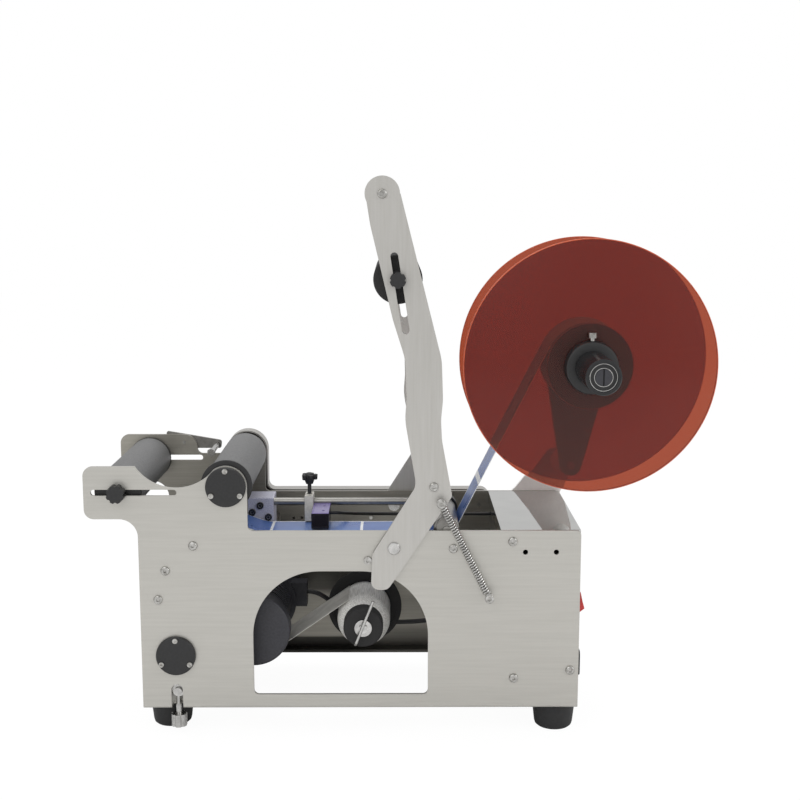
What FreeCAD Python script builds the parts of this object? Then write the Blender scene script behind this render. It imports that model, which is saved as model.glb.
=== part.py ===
import FreeCAD, Part
import math
import os

V = FreeCAD.Vector

# Everything is in millimetres, in the machine's own frame:
# X runs along the side plates from their left edge, Y goes from the outer face
# of the near plate to the far side, Z is up from the floor.

# Frame
PLATE_T = 3.0
INNER_W = 169.5
BODY_LEN = 433.5
FOOT_H = 28.5
TOP_Z = 210.5
FAR_IN = PLATE_T + INNER_W
FAR_OUT = FAR_IN + PLATE_T
FLANGE_W = 15.0
FLANGE_TOP = FOOT_H + PLATE_T
LUG_X = -51.8
LUG_Z0 = 222.4
LUG_Z1 = 274.7
LUG_R = 9.5
HUMP = (86.8, 254.6)
HUMP_R = 20.5
VALLEY = (38.0, 300.4)
VALLEY_R = 47.0
VALLEY_Z = 253.4
SLOT_Z = 248.8
SLOT_HALF = 3.0
SLOT_X0 = -41.7
SLOT_X1 = 35.8
SHEET_T = 2.0
SCREW_R = 4.5
SCREW_H = 2.4
SHANK_R = 2.0
TIE_BARS = [(53.5, 195.7, 3.5), (25.7, 170.5, 6.0), (17.9, 141.0, 6.0)]
POST_HOLES = [(BODY_LEN - 54.4, 188.8), (BODY_LEN - 24.1, 188.8)]
POST_HOLE_R = 2.6

# Feet
FEET = [(22.5, 38.0), (BODY_LEN - 20.7, 28.0),
        (22.5, FAR_OUT - 38.0), (BODY_LEN - 20.7, FAR_OUT - 28.0)]
FOOT_TOP_R = 21.5
FOOT_LOW_R = 19.0

# Window in the near plate
WIN_X0 = 110.8
WIN_X1 = 283.8
WIN_Z0 = 43.0
WIN_Z1 = 169.7
WIN_R = 65.9

# Bearings
BEAR_R = 13.0
BEAR_W = 7.0
CAP_R = 19.6
CAP_T = 4.5
RUN_GAP = 0.05
FACE_GAP = 0.3

# Rollers
RIGHT_R = 22.7
RIGHT_FLANGE_R = 25.2
RIGHT_SHAFT_R = 6.0
LEFT_AXIS = (-19.0, 248.8)
LEFT_R = 22.7
AXLE_R = 2.9
KNOB_R = 9.0
TRACTION = (34.1, 83.9)
TRACTION_R = 17.85
PINCH = (57.7, 67.4)
PINCH_R = 9.85
IDLER = (80.3, 50.9)
IDLER_R = 7.7
GUIDE = (301.8, 210.4)
GUIDE_R = 12.7
GUIDE_SHAFT_R = 4.0
TAKE_UP = (219.1, 104.7)
DRUM_R = 20.0
PAPER_R = 27.0
TAKE_UP_SHAFT_R = 5.0
MOTOR = (108.6, 101.9)
MOTOR_BOX = (MOTOR[0] + 25.4, MOTOR[0] + 47.4, 116.0, 134.0, 96.0, 122.0)

# Pinch levers
LEVER_PIVOT = (50.0, 46.0)
LEVER_EYE = (34.6, 45.0)
LEVER_Y = 11.5
LEVER_T = 4.0
PIN_R = 3.0
BOLT_SLOT_X = 34.1
BOLT_SLOT_HALF = 5.8
BOLT_SLOT_TOP = 53.6

# Pressing arm
ARM_GAP = 1.0
ARM_PIVOT = (250.2, 193.9)
PIVOT_R = 6.2
ARM_TOP = (239.5, 535.7)
ARM_HEAD_R = 16.6
ELBOW_Z = 262.1
ARM_BAR = (288.9, 255.2)
SPRING_TOP = (ARM_BAR[0] + 7.0, ARM_BAR[1] - 15.0)
SPRING_LOW = (343.4, 145.3)
SPRING_Y = -9.0
SPRING_R = 4.5
PRESS_R = 23.6
ARM_RISE = ARM_TOP[1] - ELBOW_Z
PRESS_SLOT = ((ARM_TOP[0] + 11.2, ELBOW_Z + 0.7866 * ARM_RISE), (ARM_TOP[0] + 22.0, ELBOW_Z + 0.5311 * ARM_RISE))
PRESS_SHARE = 0.318
PRESS = (PRESS_SLOT[0][0] + PRESS_SHARE * (PRESS_SLOT[1][0] - PRESS_SLOT[0][0]),
         PRESS_SLOT[0][1] + PRESS_SHARE * (PRESS_SLOT[1][1] - PRESS_SLOT[0][1]))
PRESS_SLOT_HALF = 3.7
PRESS_AXLE_R = 3.6
STOP_SCREW = (224.4, 180.8)
STOP_SCREW_R = 4.0

# Label reel
REEL = (BODY_LEN + 9.5, 368.5)
DISC_R = 125.0
DISC_T = 3.0
DISC_NEAR = 26.0
DISC_FAR = 99.5
SLEEVE_R = 17.0
SPINDLE_R = 8.0
HUB_R = 37.7
ROLL_R = 42.0
SLEEVE_Y0 = -52.0
LINK_Y = 105.0
LINK_T = 10.0
LINK_LOW = (BODY_LEN + 3.9, 259.2)
POST_T = 4.0
POST_Y = FAR_OUT + 0.5
PIN_END = (SLEEVE_Y0 + 0.8, 12.6)

# Label band
WEB_T = 0.4
WEB_GAP = 0.3
WEB_Y0 = 39.5
WEB_Y1 = 89.5
TABLE_Y0 = 38.0
TABLE_Y1 = 91.0
TABLE_MID_Z = 196.0
KNEE_X = 125.0
KNEE_R = 41.2
TIP = (56.5, 218.2)
TABLE_END_X = 215.0

# Sensor
ROD_R = 4.0
ROD_Y = 97.0
ROD_Z = 217.0
ROD_X1 = 284.0
SENSOR_X0 = 166.0
SENSOR_X1 = 184.0
SENSOR_KNOB_X = 161.5
KNOB_STEM_R = 3.0

# Electrical box
BOX_X = BODY_LEN - 76.5
ROCKER = (BODY_LEN - 1.5, 132.0)
ROCKER_Y0 = 18.0
ROCKER_Y1 = 36.0
ROCKER_PIN_R = 2.0
INLET = (18.0, 50.0, 59.5, 81.5)
CABLE_HOLES = [(FAR_IN - 32.5, 90.0), (FAR_IN - 22.5, 190.0)]

# Drive side
COVER_Y0 = FAR_OUT + 7.0
COVER_Y1 = COVER_Y0 + 16.0
COVER_T = 1.5
LAYER_A = (COVER_Y0 + 1.5, COVER_Y0 + 6.5)
LAYER_B = (COVER_Y0 + 7.5, COVER_Y0 + 12.5)
MOTOR_PULLEY_R = 12.0
TRACTION_PULLEY_R = 18.0
DRIVEN_PULLEY_R = 15.0
BELT_T = 1.5

# Bottle stop
STOP_BOLT = (54.1, 262.4)
STOP_BOLT_R = 3.0

# Origin of the part: middle of its footprint, on the floor
ORIGIN_X = (LUG_X + REEL[0] + DISC_R) / 2.0
ORIGIN_Y = (SLEEVE_Y0 + COVER_Y1 + SCREW_H) / 2.0


def save(name, shape):
    os.makedirs("parts", exist_ok=True)
    moved = shape.copy()
    moved.translate(V(-ORIGIN_X, -ORIGIN_Y, 0))
    moved.exportStep("parts/" + name + ".step")


def box(x0, x1, y0, y1, z0, z1):
    return Part.makeBox(x1 - x0, y1 - y0, z1 - z0, V(x0, y0, z0))


def bar(at, r, y0, y1):
    return Part.makeCylinder(r, y1 - y0, V(at[0], y0, at[1]), V(0, 1, 0))


def ring(at, r, bore, y0, y1):
    return bar(at, r, y0, y1).cut(bar(at, bore, y0, y1))


def rod(x, y, r, z0, z1):
    return Part.makeCylinder(r, z1 - z0, V(x, y, z0))


def join(shapes):
    whole = shapes[0]
    if len(shapes) > 1:
        whole = whole.multiFuse(shapes[1:])
    return whole.removeSplitter()


def both(shape):
    """The shape and its mirror image about the middle plane between the plates."""
    other = shape.mirror(V(0, FAR_OUT / 2.0, 0), V(0, 1, 0))
    return Part.makeCompound([shape, other])


def mirrored(shape):
    return shape.mirror(V(0, FAR_OUT / 2.0, 0), V(0, 1, 0))


def plate(points, y0, y1):
    """Flat piece between y0 and y1 from corners given as (x, z, corner radius)."""
    corners = []
    count = len(points)
    for i in range(count):
        x, z, r = points[i]
        p = V(x, y0, z)
        u = V(points[i - 1][0], y0, points[i - 1][1]).sub(p)
        w = V(points[(i + 1) % count][0], y0, points[(i + 1) % count][1]).sub(p)
        u.normalize()
        w.normalize()
        if r <= 0:
            corners.append((p, p, None))
            continue
        half = u.getAngle(w) / 2.0
        reach = r / math.tan(half)
        inward = u.add(w)
        inward.normalize()
        middle = p.add(inward.multiply(r / math.sin(half) - r))
        corners.append((p.add(u.multiply(reach)), p.add(w.multiply(reach)), middle))
    edges = []
    for i in range(count):
        start, end, middle = corners[i]
        following = corners[(i + 1) % count][0]
        if middle is not None:
            edges.append(Part.Arc(start, middle, end).toShape())
        if end.distanceToPoint(following) > 1e-6:
            edges.append(Part.makeLine(end, following))
    face = Part.Face(Part.Wire(edges))
    return face.extrude(V(0, y1 - y0, 0))


def slot(a, b, half, y0, y1):
    """Round-ended slot from centre a to centre b."""
    dx = b[0] - a[0]
    dz = b[1] - a[1]
    length = math.hypot(dx, dz)
    nx = -dz / length * half
    nz = dx / length * half
    corners = [(a[0] + nx, a[1] + nz, 0), (b[0] + nx, b[1] + nz, 0)]
    corners += [(b[0] - nx, b[1] - nz, 0), (a[0] - nx, a[1] - nz, 0)]
    return join([plate(corners, y0, y1), bar(a, half, y0, y1), bar(b, half, y0, y1)])


def hull(a, ra, b, rb, y0, y1):
    """Tapered link with round ends of two radii."""
    dx = b[0] - a[0]
    dz = b[1] - a[1]
    length = math.hypot(dx, dz)
    base = math.atan2(dz, dx)
    lean = math.acos((ra - rb) / length)
    corners = []
    for centre, r, angle in [(a, ra, base + lean), (b, rb, base + lean),
                             (b, rb, base - lean), (a, ra, base - lean)]:
        corners.append((centre[0] + r * math.cos(angle), centre[1] + r * math.sin(angle), 0))
    return join([plate(corners, y0, y1), bar(a, ra, y0, y1), bar(b, rb, y0, y1)])


def ribbon(stations, thick, y0, y1):
    """Thin band along tangent lines and arcs round (x, z, radius, turn) stations.

    The turn is 1 anticlockwise and -1 clockwise; the first and last arc are left out.
    """
    runs = []
    for first, second in zip(stations[:-1], stations[1:]):
        dx = second[0] - first[0]
        dz = second[1] - first[1]
        length = math.hypot(dx, dz)
        offset = (second[3] * second[2] - first[3] * first[2]) / length
        heading = math.atan2(dz, dx) - math.asin(offset)
        nx = -math.sin(heading)
        nz = math.cos(heading)
        a = (first[0] - first[3] * first[2] * nx, first[1] - first[3] * first[2] * nz)
        b = (second[0] - second[3] * second[2] * nx, second[1] - second[3] * second[2] * nz)
        runs.append((a, b, heading))
    sides = []
    for shift in (thick / 2.0, -thick / 2.0):
        edges = []
        for i, (a, b, heading) in enumerate(runs):
            nx = -math.sin(heading) * shift
            nz = math.cos(heading) * shift
            p = V(a[0] + nx, y0, a[1] + nz)
            q = V(b[0] + nx, y0, b[1] + nz)
            if i > 0:
                x, z, r, turn = stations[i]
                radius = r - turn * shift
                turned = turn * ((turn * (heading - runs[i - 1][2])) % (2 * math.pi))
                mid_heading = runs[i - 1][2] + turned / 2.0
                m = V(x + turn * radius * math.sin(mid_heading), y0,
                      z - turn * radius * math.cos(mid_heading))
                edges.append(Part.Arc(last, m, p).toShape())
            edges.append(Part.makeLine(p, q))
            last = q
        sides.append(edges)
    starts = [s[0].Vertexes[0].Point for s in sides]
    ends = [s[-1].Vertexes[-1].Point for s in sides]
    edges = sides[0] + [Part.makeLine(ends[0], ends[1])]
    edges += sides[1] + [Part.makeLine(starts[0], starts[1])]
    ordered = Part.__sortEdges__(edges)
    return Part.Face(Part.Wire(ordered)).extrude(V(0, y1 - y0, 0))


def closed_belt(a, ra, b, rb, thick, y0, y1):
    """Flat belt round two pulleys that turn the same way."""
    outer = hull(a, ra + thick, b, rb + thick, y0, y1)
    return outer.cut(hull(a, ra, b, rb, y0, y1))


def hexagon(x, z, across, y0, y1):
    r = across / math.sqrt(3)
    points = []
    for i in range(6):
        angle = math.radians(60 * i + 30)
        points.append((x + r * math.cos(angle), z + r * math.sin(angle), 0))
    return plate(points, y0, y1)


def knob(at, r, y0, y1, lobes):
    """Hand knob with a scalloped rim."""
    shape = bar(at, r, y0, y1)
    bite = r * 0.22
    for i in range(lobes):
        angle = 2 * math.pi * i / lobes
        centre = (at[0] + (r + bite * 0.35) * math.cos(angle), at[1] + (r + bite * 0.35) * math.sin(angle))
        shape = shape.cut(bar(centre, bite, y0, y1))
    return shape


def wire_path(points, r, bend):
    """Round wire or cable through the points, with tangent bends."""
    edges = []
    last = V(*points[0])
    for i in range(1, len(points) - 1):
        p = V(*points[i])
        u = V(*points[i - 1]).sub(p)
        w = V(*points[i + 1]).sub(p)
        u.normalize()
        w.normalize()
        half = u.getAngle(w) / 2.0
        reach = bend / math.tan(half)
        inward = u.add(w)
        inward.normalize()
        middle = p.add(inward.multiply(bend / math.sin(half) - bend))
        start = p.add(u.multiply(reach))
        end = p.add(w.multiply(reach))
        if last.distanceToPoint(start) > 1e-6:
            edges.append(Part.makeLine(last, start))
        edges.append(Part.Arc(start, middle, end).toShape())
        last = end
    edges.append(Part.makeLine(last, V(*points[-1])))
    spine = Part.Wire(edges)
    tangent = V(*points[1]).sub(V(*points[0]))
    profile = Part.Wire([Part.makeCircle(r, V(*points[0]), tangent)])
    return spine.makePipeShell([profile], True, True)


def side_plate_body(hump_valley):
    """Flat side plate with lug, roller hump, slots and its folded bottom flange."""
    right = HUMP[0] + HUMP_R
    if hump_valley:
        top = [(60.0, LUG_Z1, 0), (HUMP[0], 268.0, 0)]
    else:
        top = [(33.0, LUG_Z1, 15.0), (33.0, VALLEY_Z, 6.0), (64.0, VALLEY_Z, 6.0), (HUMP[0], 270.0, 0)]
    outline = [(0, FOOT_H, 0), (0, LUG_Z0, 18.0), (LUG_X, LUG_Z0, LUG_R), (LUG_X, LUG_Z1, LUG_R)]
    outline += top
    outline += [(right, HUMP[1], 0), (right, TOP_Z, 5.0), (BODY_LEN, TOP_Z, 5.0), (BODY_LEN, FOOT_H, 0)]
    body = join([plate(outline, 0, PLATE_T), bar(HUMP, HUMP_R, 0, PLATE_T)])
    if hump_valley:
        body = body.cut(bar(VALLEY, VALLEY_R, -1, PLATE_T + 1))
    flange = box(0, BODY_LEN, 0, PLATE_T + FLANGE_W, FOOT_H, FLANGE_TOP)
    left_ear = box(0, 45.0, 0, 58.0, FOOT_H, FLANGE_TOP)
    right_ear = box(BODY_LEN - 43.5, BODY_LEN, 0, 48.0, FOOT_H, FLANGE_TOP)
    body = join([body, flange, left_ear, right_ear])
    bend = [e for e in body.Edges if abs(e.CenterOfMass.y) < 0.01 and abs(e.CenterOfMass.z - FOOT_H) < 0.01
            and e.Length > BODY_LEN / 2]
    body = body.makeFillet(PLATE_T - 0.5, bend)
    cuts = [slot((SLOT_X0, SLOT_Z), (SLOT_X1, SLOT_Z), SLOT_HALF, -1, PLATE_T + 1)]
    slot_top = BOLT_SLOT_TOP - BOLT_SLOT_HALF
    cuts.append(bar((BOLT_SLOT_X, slot_top), BOLT_SLOT_HALF, -1, PLATE_T + 1))
    cuts.append(box(BOLT_SLOT_X - BOLT_SLOT_HALF, BOLT_SLOT_X + BOLT_SLOT_HALF, -1, PLATE_T + 1, 0, slot_top))
    cuts.append(box(BOLT_SLOT_X - BOLT_SLOT_HALF, BOLT_SLOT_X + BOLT_SLOT_HALF, -1, 13.0, 0, FLANGE_TOP + 1))
    for x, y in FEET[:2]:
        cuts.append(rod(x, y, SHANK_R + 0.5, FOOT_H - 1, FLANGE_TOP + 1))
    for x, z in POST_HOLES:
        cuts.append(bar((x, z), POST_HOLE_R, -1, PLATE_T + 1))
    for x, z, r in TIE_BARS:
        cuts.append(bar((x, z), SHANK_R, -1, PLATE_T + 1))
    for at in SIDE_SCREWS:
        cuts.append(bar(at, SHANK_R, -1, PLATE_T + 1))
    for at in (HUMP, TRACTION):
        cuts.append(bar(at, BEAR_R, -1, PLATE_T + 1))
    cuts.append(bar(ARM_PIVOT, PIVOT_R, -1, PLATE_T + 1))
    return body.cut(Part.makeCompound(cuts))


WALL_SCREWS = [(BOX_X + 9.5, 199.6), (BOX_X + 12.1, 59.7)]
PANEL_SCREW = (BODY_LEN - 8.4, 67.8)
BRACKET_SCREW = (GUIDE[0] + 6.6, GUIDE[1] - 17.8)
SIDE_SCREWS = [STOP_SCREW, BRACKET_SCREW] + WALL_SCREWS + [PANEL_SCREW]


def near_side_plate():
    window = [(WIN_X0, WIN_Z0, 5.0), (WIN_X0, WIN_Z1, WIN_R), (WIN_X1, WIN_Z1, WIN_R), (WIN_X1, WIN_Z0, 5.0)]
    body = side_plate_body(True).cut(plate(window, -1, PLATE_T + 1))
    return body.cut(bar(SPRING_LOW, PIN_R, -1, PLATE_T + 1))


def far_side_plate():
    body = side_plate_body(False)
    body = body.cut(bar(TAKE_UP, BEAR_R, -1, PLATE_T + 1)).cut(bar(MOTOR, 8.0, -1, PLATE_T + 1))
    body = body.cut(bar(STOP_PLATE_SCREW, SHANK_R, -1, PLATE_T + 1))
    for at in STANDOFFS:
        body = body.cut(bar(at, SHANK_R, -1, PLATE_T + 1))
    for at in [(138.0, 179.7), (147.2, 180.1)]:
        body = body.cut(bar(at, 1.6, -1, PLATE_T + 1))
    return mirrored(body)


STANDOFFS = [(20.0, 45.0), (BOX_X - 12.0, 45.0), (BOX_X - 12.0, 195.0), (75.0, 215.0)]
STOP_PLATE_SCREW = (18.6, 265.9)


def outside_screw(at, shank_end):
    head = bar(at, SCREW_R, -SCREW_H, 0)
    head = head.makeFillet(1.6, [e for e in head.Edges if abs(e.CenterOfMass.y + SCREW_H) < 0.01])
    head = head.cut(hexagon(at[0], at[1], 3.0, -SCREW_H - 0.1, -0.8))
    return head.fuse(bar(at, SHANK_R, 0, shank_end))


def frame_screws():
    parts = []
    for x, z, r in TIE_BARS:
        parts.append(outside_screw((x, z), PLATE_T + 8.0))
    for at in SIDE_SCREWS[1:]:
        parts.append(outside_screw(at, PLATE_T + SHEET_T))
    stop = bar(STOP_SCREW, STOP_SCREW_R, -SCREW_H, 0).cut(hexagon(STOP_SCREW[0], STOP_SCREW[1], 3.0, -3, -0.8))
    parts.append(stop.fuse(bar(STOP_SCREW, SHANK_R, 0, PLATE_T + 3.0)))
    for x, y in FEET[:2]:
        parts.append(rod(x, y, SCREW_R, FLANGE_TOP, FLANGE_TOP + SCREW_H).fuse(rod(x, y, SHANK_R + 0.5, 18.0, FLANGE_TOP)))
    return both(Part.makeCompound(parts))


def tie_bars():
    parts = []
    for x, z, r in TIE_BARS:
        tube = bar((x, z), r, PLATE_T, FAR_IN)
        hole = bar((x, z), SHANK_R, PLATE_T, PLATE_T + 8.0)
        parts.append(tube.cut(both(hole)))
    return Part.makeCompound(parts)


def rubber_feet():
    parts = []
    for x, y in FEET:
        foot = Part.makeCone(FOOT_LOW_R, FOOT_TOP_R, FOOT_H, V(x, y, 0))
        foot = foot.makeFillet(4.0, [e for e in foot.Edges if abs(e.CenterOfMass.z) < 0.01])
        parts.append(foot.cut(rod(x, y, SHANK_R + 0.5, 18.0, FOOT_H)))
    return Part.makeCompound(parts)


def bearing_caps():
    parts = []
    for at in (HUMP, TRACTION):
        cap = bar(at, CAP_R, -CAP_T, 0)
        cap = cap.makeFillet(1.5, [e for e in cap.Edges if abs(e.CenterOfMass.y + CAP_T) < 0.01 and e.Length > 50])
        cap = cap.cut(bar(at, BEAR_R, -3.2, 0)).cut(bar(at, RIGHT_SHAFT_R + 1.0, -3.4, 0))
        for x, z in cap_holes(at):
            cap = cap.cut(bar((x, z), 1.5, -CAP_T - 1, 1))
        parts.append(cap)
    return Part.makeCompound(parts)


def cap_holes(at):
    return [(at[0] + 16.2 * math.cos(math.radians(a)), at[1] + 16.2 * math.sin(math.radians(a)))
            for a in (90, 210, 330)]


def cap_screws():
    parts = []
    for at in (HUMP, TRACTION):
        for x, z in cap_holes(at):
            head = bar((x, z), 2.6, -CAP_T - 1.2, -CAP_T).cut(hexagon(x, z, 2.0, -CAP_T - 1.3, -CAP_T - 0.5))
            parts.append(head.fuse(bar((x, z), 1.5, -CAP_T, 0)))
    return Part.makeCompound(parts)


def bearing_housings():
    parts = []
    for at in (HUMP, TRACTION, TAKE_UP):
        parts.append(ring(at, CAP_R, BEAR_R, FAR_OUT, FAR_OUT + 5.0))
    parts.append(ring(TAKE_UP, CAP_R, BEAR_R, FAR_IN - 22.5, FAR_IN))
    return Part.makeCompound(parts)


def roller_bearings():
    parts = []
    for at, r in ((HUMP, RIGHT_SHAFT_R), (TRACTION, RIGHT_SHAFT_R)):
        parts.append(ring(at, BEAR_R, r + RUN_GAP, -3.2, BEAR_W - 3.2))
        parts.append(ring(at, BEAR_R, r + RUN_GAP, FAR_OUT + 4.5 - BEAR_W, FAR_OUT + 4.5))
    parts.append(ring(TAKE_UP, BEAR_R, TAKE_UP_SHAFT_R + RUN_GAP, FAR_IN - 22.5, FAR_IN - 15.5))
    parts.append(ring(TAKE_UP, BEAR_R, TAKE_UP_SHAFT_R + RUN_GAP, FAR_OUT + 4.5 - BEAR_W, FAR_OUT + 4.5))
    return Part.makeCompound(parts)


# Electrical box at the right end
def end_panel():
    panel = box(BODY_LEN - PLATE_T, BODY_LEN, PLATE_T, FAR_IN, FLANGE_TOP, TOP_Z - SHEET_T)
    tabs = box(BODY_LEN - 18.0, BODY_LEN - PLATE_T, PLATE_T, PLATE_T + SHEET_T, 50.0, 90.0)
    tabs = tabs.cut(bar(PANEL_SCREW, SHANK_R, 0, 10))
    panel = join([panel, tabs, mirrored(tabs)])
    x0 = BODY_LEN - 10.0
    x1 = BODY_LEN + 1.0
    panel = panel.cut(box(x0, x1, ROCKER_Y0 - 1, ROCKER_Y1 + 1, ROCKER[1] - 11.8, ROCKER[1] + 11.8))
    return panel.cut(box(x0, x1, *INLET))


def compartment_wall():
    wall = box(BOX_X, BOX_X + SHEET_T, PLATE_T, FAR_IN, FLANGE_TOP + SHEET_T, TOP_Z - SHEET_T)
    tab = box(BOX_X, BOX_X + 15.0, PLATE_T, PLATE_T + SHEET_T, FLANGE_TOP + SHEET_T, TOP_Z - SHEET_T)
    for at in WALL_SCREWS:
        tab = tab.cut(bar(at, SHANK_R, 0, 10))
    wall = join([wall, tab, mirrored(tab)])
    for y, z in CABLE_HOLES:
        wall = wall.cut(Part.makeCylinder(3.5, 10, V(BOX_X - 4, y, z), V(1, 0, 0)))
    return wall


def top_deck():
    deck = box(BOX_X, BODY_LEN, PLATE_T, FAR_IN, TOP_Z - SHEET_T, TOP_Z)
    return deck.fuse(box(BOX_X - SHEET_T, BOX_X, PLATE_T, FAR_IN, TOP_Z - 14.0, TOP_Z)).removeSplitter()


def compartment_floor():
    floor = box(BOX_X, BODY_LEN - PLATE_T, PLATE_T, FAR_IN, FLANGE_TOP, FLANGE_TOP + SHEET_T)
    for x, y in (FEET[1], FEET[3]):
        floor = floor.cut(rod(x, y, SCREW_R + FACE_GAP, FLANGE_TOP - 1, FLANGE_TOP + 5))
    return floor


def rocker():
    shape = plate([(-5, -9, 0), (-5, 9, 0), (2, 11.1, 1), (5, 10.2, 1), (7.2, 0, 5), (9.1, -6.6, 1), (4, -10.6, 1)],
                  ROCKER_Y0, ROCKER_Y1)
    shape.translate(V(ROCKER[0], 0, ROCKER[1]))
    return shape.fuse(bar(ROCKER, ROCKER_PIN_R, ROCKER_Y0 - 0.9, ROCKER_Y1 + 0.9)).removeSplitter()


def switch_bezel():
    x = BODY_LEN
    frame = box(x, x + SHEET_T, ROCKER_Y0 - 5, ROCKER_Y1 + 5, ROCKER[1] - 17.0, ROCKER[1] + 17.0)
    shell = box(x - 16.0, x, ROCKER_Y0 - 1, ROCKER_Y1 + 1, ROCKER[1] - 11.8, ROCKER[1] + 11.8)
    frame = frame.fuse(shell).removeSplitter()
    frame = frame.cut(bar(ROCKER, ROCKER_PIN_R + RUN_GAP, ROCKER_Y0 - 1, ROCKER_Y1 + 1))
    return frame.cut(box(x - 14.5, x + 3, ROCKER_Y0 - 0.3, ROCKER_Y1 + 0.3, ROCKER[1] - 11.8 + 0.01, ROCKER[1] + 11.8 - 0.01))


def power_inlet():
    x = BODY_LEN
    face = box(x, x + 3.0, 10.0, 58.0, 57.5, 83.5)
    face = face.makeFillet(5.0, [e for e in face.Edges if abs(e.Length - 3.0) < 0.01])
    body = face.fuse(box(x - 22.0, x, *INLET)).removeSplitter()
    mouth = box(x - 18.0, x + 4, 22.0, 46.0, 62.0, 79.0)
    body = body.cut(mouth)
    pins = [box(x - 19.0, x - 4.0, y - 1.0, y + 1.0, z - 2.0, z + 2.0)
            for y, z in ((28.0, 68.0), (40.0, 68.0), (34.0, 73.5))]
    return join([body] + pins)


# Label band, table and sensor
def table_stations(extra):
    knee = (KNEE_X, TABLE_MID_Z + KNEE_R, KNEE_R - extra, -1)
    return knee


def label_table():
    sheet = ribbon([(TABLE_END_X, TABLE_MID_Z, 0, 1), table_stations(0), (TIP[0], TIP[1], 0, 1)],
                   SHEET_T, TABLE_Y0, TABLE_Y1)
    nose = bar(TIP, SHEET_T / 2.0, TABLE_Y0, TABLE_Y1)
    legs = [rod(110.0, y, 4.0, 186.0, TABLE_MID_Z) for y in (50.0, 79.0)]
    return join([sheet, nose] + legs)


def table_beam():
    beam = box(98.0, 123.0, PLATE_T, FAR_IN, 174.0, 186.0)
    return beam.makeFillet(1.5, [e for e in beam.Edges if e.Length > 100])


def table_block():
    block = box(97.0, 124.0, TABLE_Y1, 123.0, 186.0, 222.0)
    block = block.makeFillet(1.2, [e for e in block.Edges if e.Length > 25])
    block = block.cut(Part.makeCylinder(ROD_R, 12.0, V(112.0, ROD_Y, ROD_Z), V(1, 0, 0)))
    heads = []
    for x, z in ((110.0, 214.0), (101.6, 206.8), (118.5, 201.6)):
        heads.append(hexagon(x, z, 5.5, TABLE_Y1 - 2.4, TABLE_Y1).cut(bar((x, z), 1.5, TABLE_Y1 - 3, TABLE_Y1 - 1)))
    return block, heads


def sensor_rod():
    return Part.makeCylinder(ROD_R, ROD_X1 - 112.0, V(112.0, ROD_Y, ROD_Z), V(1, 0, 0))


def sensor_clamp():
    block = box(157.0, SENSOR_X0, 84.0, 105.0, 199.0, 225.6)
    block = block.makeFillet(0.8, [e for e in block.Edges if e.Length > 15])
    block = block.cut(rod(SENSOR_KNOB_X, ROD_Y, KNOB_STEM_R + RUN_GAP, 221.6, 226.0))
    return block.cut(Part.makeCylinder(ROD_R + RUN_GAP, 20.0, V(150.0, ROD_Y, ROD_Z), V(1, 0, 0)))


def label_sensor():
    body = box(SENSOR_X0, SENSOR_X1, 50.0, 95.0, 199.0, 216.0)
    body = body.makeFillet(1.0, [e for e in body.Edges if e.Length > 15])
    body = body.cut(Part.makeCylinder(ROD_R + RUN_GAP, 30.0, V(160.0, ROD_Y, ROD_Z), V(1, 0, 0)))
    for y in (60.0, 80.0):
        body = body.cut(rod(178.0, y, 1.5, 214.0, 217.0))
    return body.cut(box(SENSOR_X0 + 4, SENSOR_X1 - 4, 49.0, 50.8, 202.0, 213.0))


def sensor_knob():
    x = SENSOR_KNOB_X
    stem = rod(x, ROD_Y, KNOB_STEM_R, 222.0, 236.0)
    points = []
    for i in range(10):
        r = 8.75 if i % 2 == 0 else 5.4
        angle = 2 * math.pi * i / 10
        points.append(V(x + r * math.cos(angle), ROD_Y + r * math.sin(angle), 236.0))
    star = Part.Face(Part.makePolygon(points + [points[0]])).extrude(V(0, 0, 12.0))
    return star.fuse(stem).removeSplitter()


def sensor_cable():
    y, z = CABLE_HOLES[1]
    points = [(SENSOR_X1, 88.0, 207.0), (205.0, 88.0, 207.0), (225.0, y, z), (BOX_X, y, z)]
    return wire_path(points, 1.8, 14.0)


def band(stations):
    return ribbon(stations, WEB_T, WEB_Y0, WEB_Y1)


def label_web():
    off = WEB_GAP + WEB_T / 2.0
    half = (SHEET_T + WEB_T) / 2.0
    return band([(REEL[0], REEL[1], ROLL_R + off, 1), (GUIDE[0], GUIDE[1], GUIDE_R + off, -1),
                 (KNEE_X, TABLE_MID_Z + KNEE_R, KNEE_R - half, -1), (TIP[0], TIP[1], half, 1)])


def backing_web():
    off = WEB_GAP + WEB_T / 2.0
    half = (SHEET_T + WEB_T) / 2.0
    lead = (KNEE_X, TABLE_MID_Z + KNEE_R, KNEE_R - half, -1)
    whole = band([lead, (TIP[0], TIP[1], half, 1), (TRACTION[0], TRACTION[1], TRACTION_R + off, 1),
                  (PINCH[0], PINCH[1], PINCH_R + off, -1), (IDLER[0], IDLER[1], IDLER_R + off, 1),
                  (TAKE_UP[0], TAKE_UP[1], PAPER_R + off, -1)])
    return whole.cut(label_web())


# Rollers
def right_roller():
    flange = bar(HUMP, RIGHT_FLANGE_R, 5.3, 8.3)
    return bar(HUMP, RIGHT_R, 8.3, FAR_IN - 5.5).cut(bar(HUMP, RIGHT_SHAFT_R, 0, FAR_IN)), flange.cut(bar(HUMP, RIGHT_SHAFT_R, 0, FAR_IN))


def shaft_with_pulley(at, r, y0, y1, pulleys):
    parts = [bar(at, r, y0, y1)]
    for pulley_r, layer in pulleys:
        parts.append(bar(at, pulley_r, layer[0], layer[1]))
    return join(parts)


def left_roller():
    body = ring(LEFT_AXIS, LEFT_R, AXLE_R + RUN_GAP, 8.0, FAR_OUT - 8.0)
    ends = both(ring(LEFT_AXIS, LEFT_R + 0.2, AXLE_R + RUN_GAP, 5.0, 8.0))
    return body, ends


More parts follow.
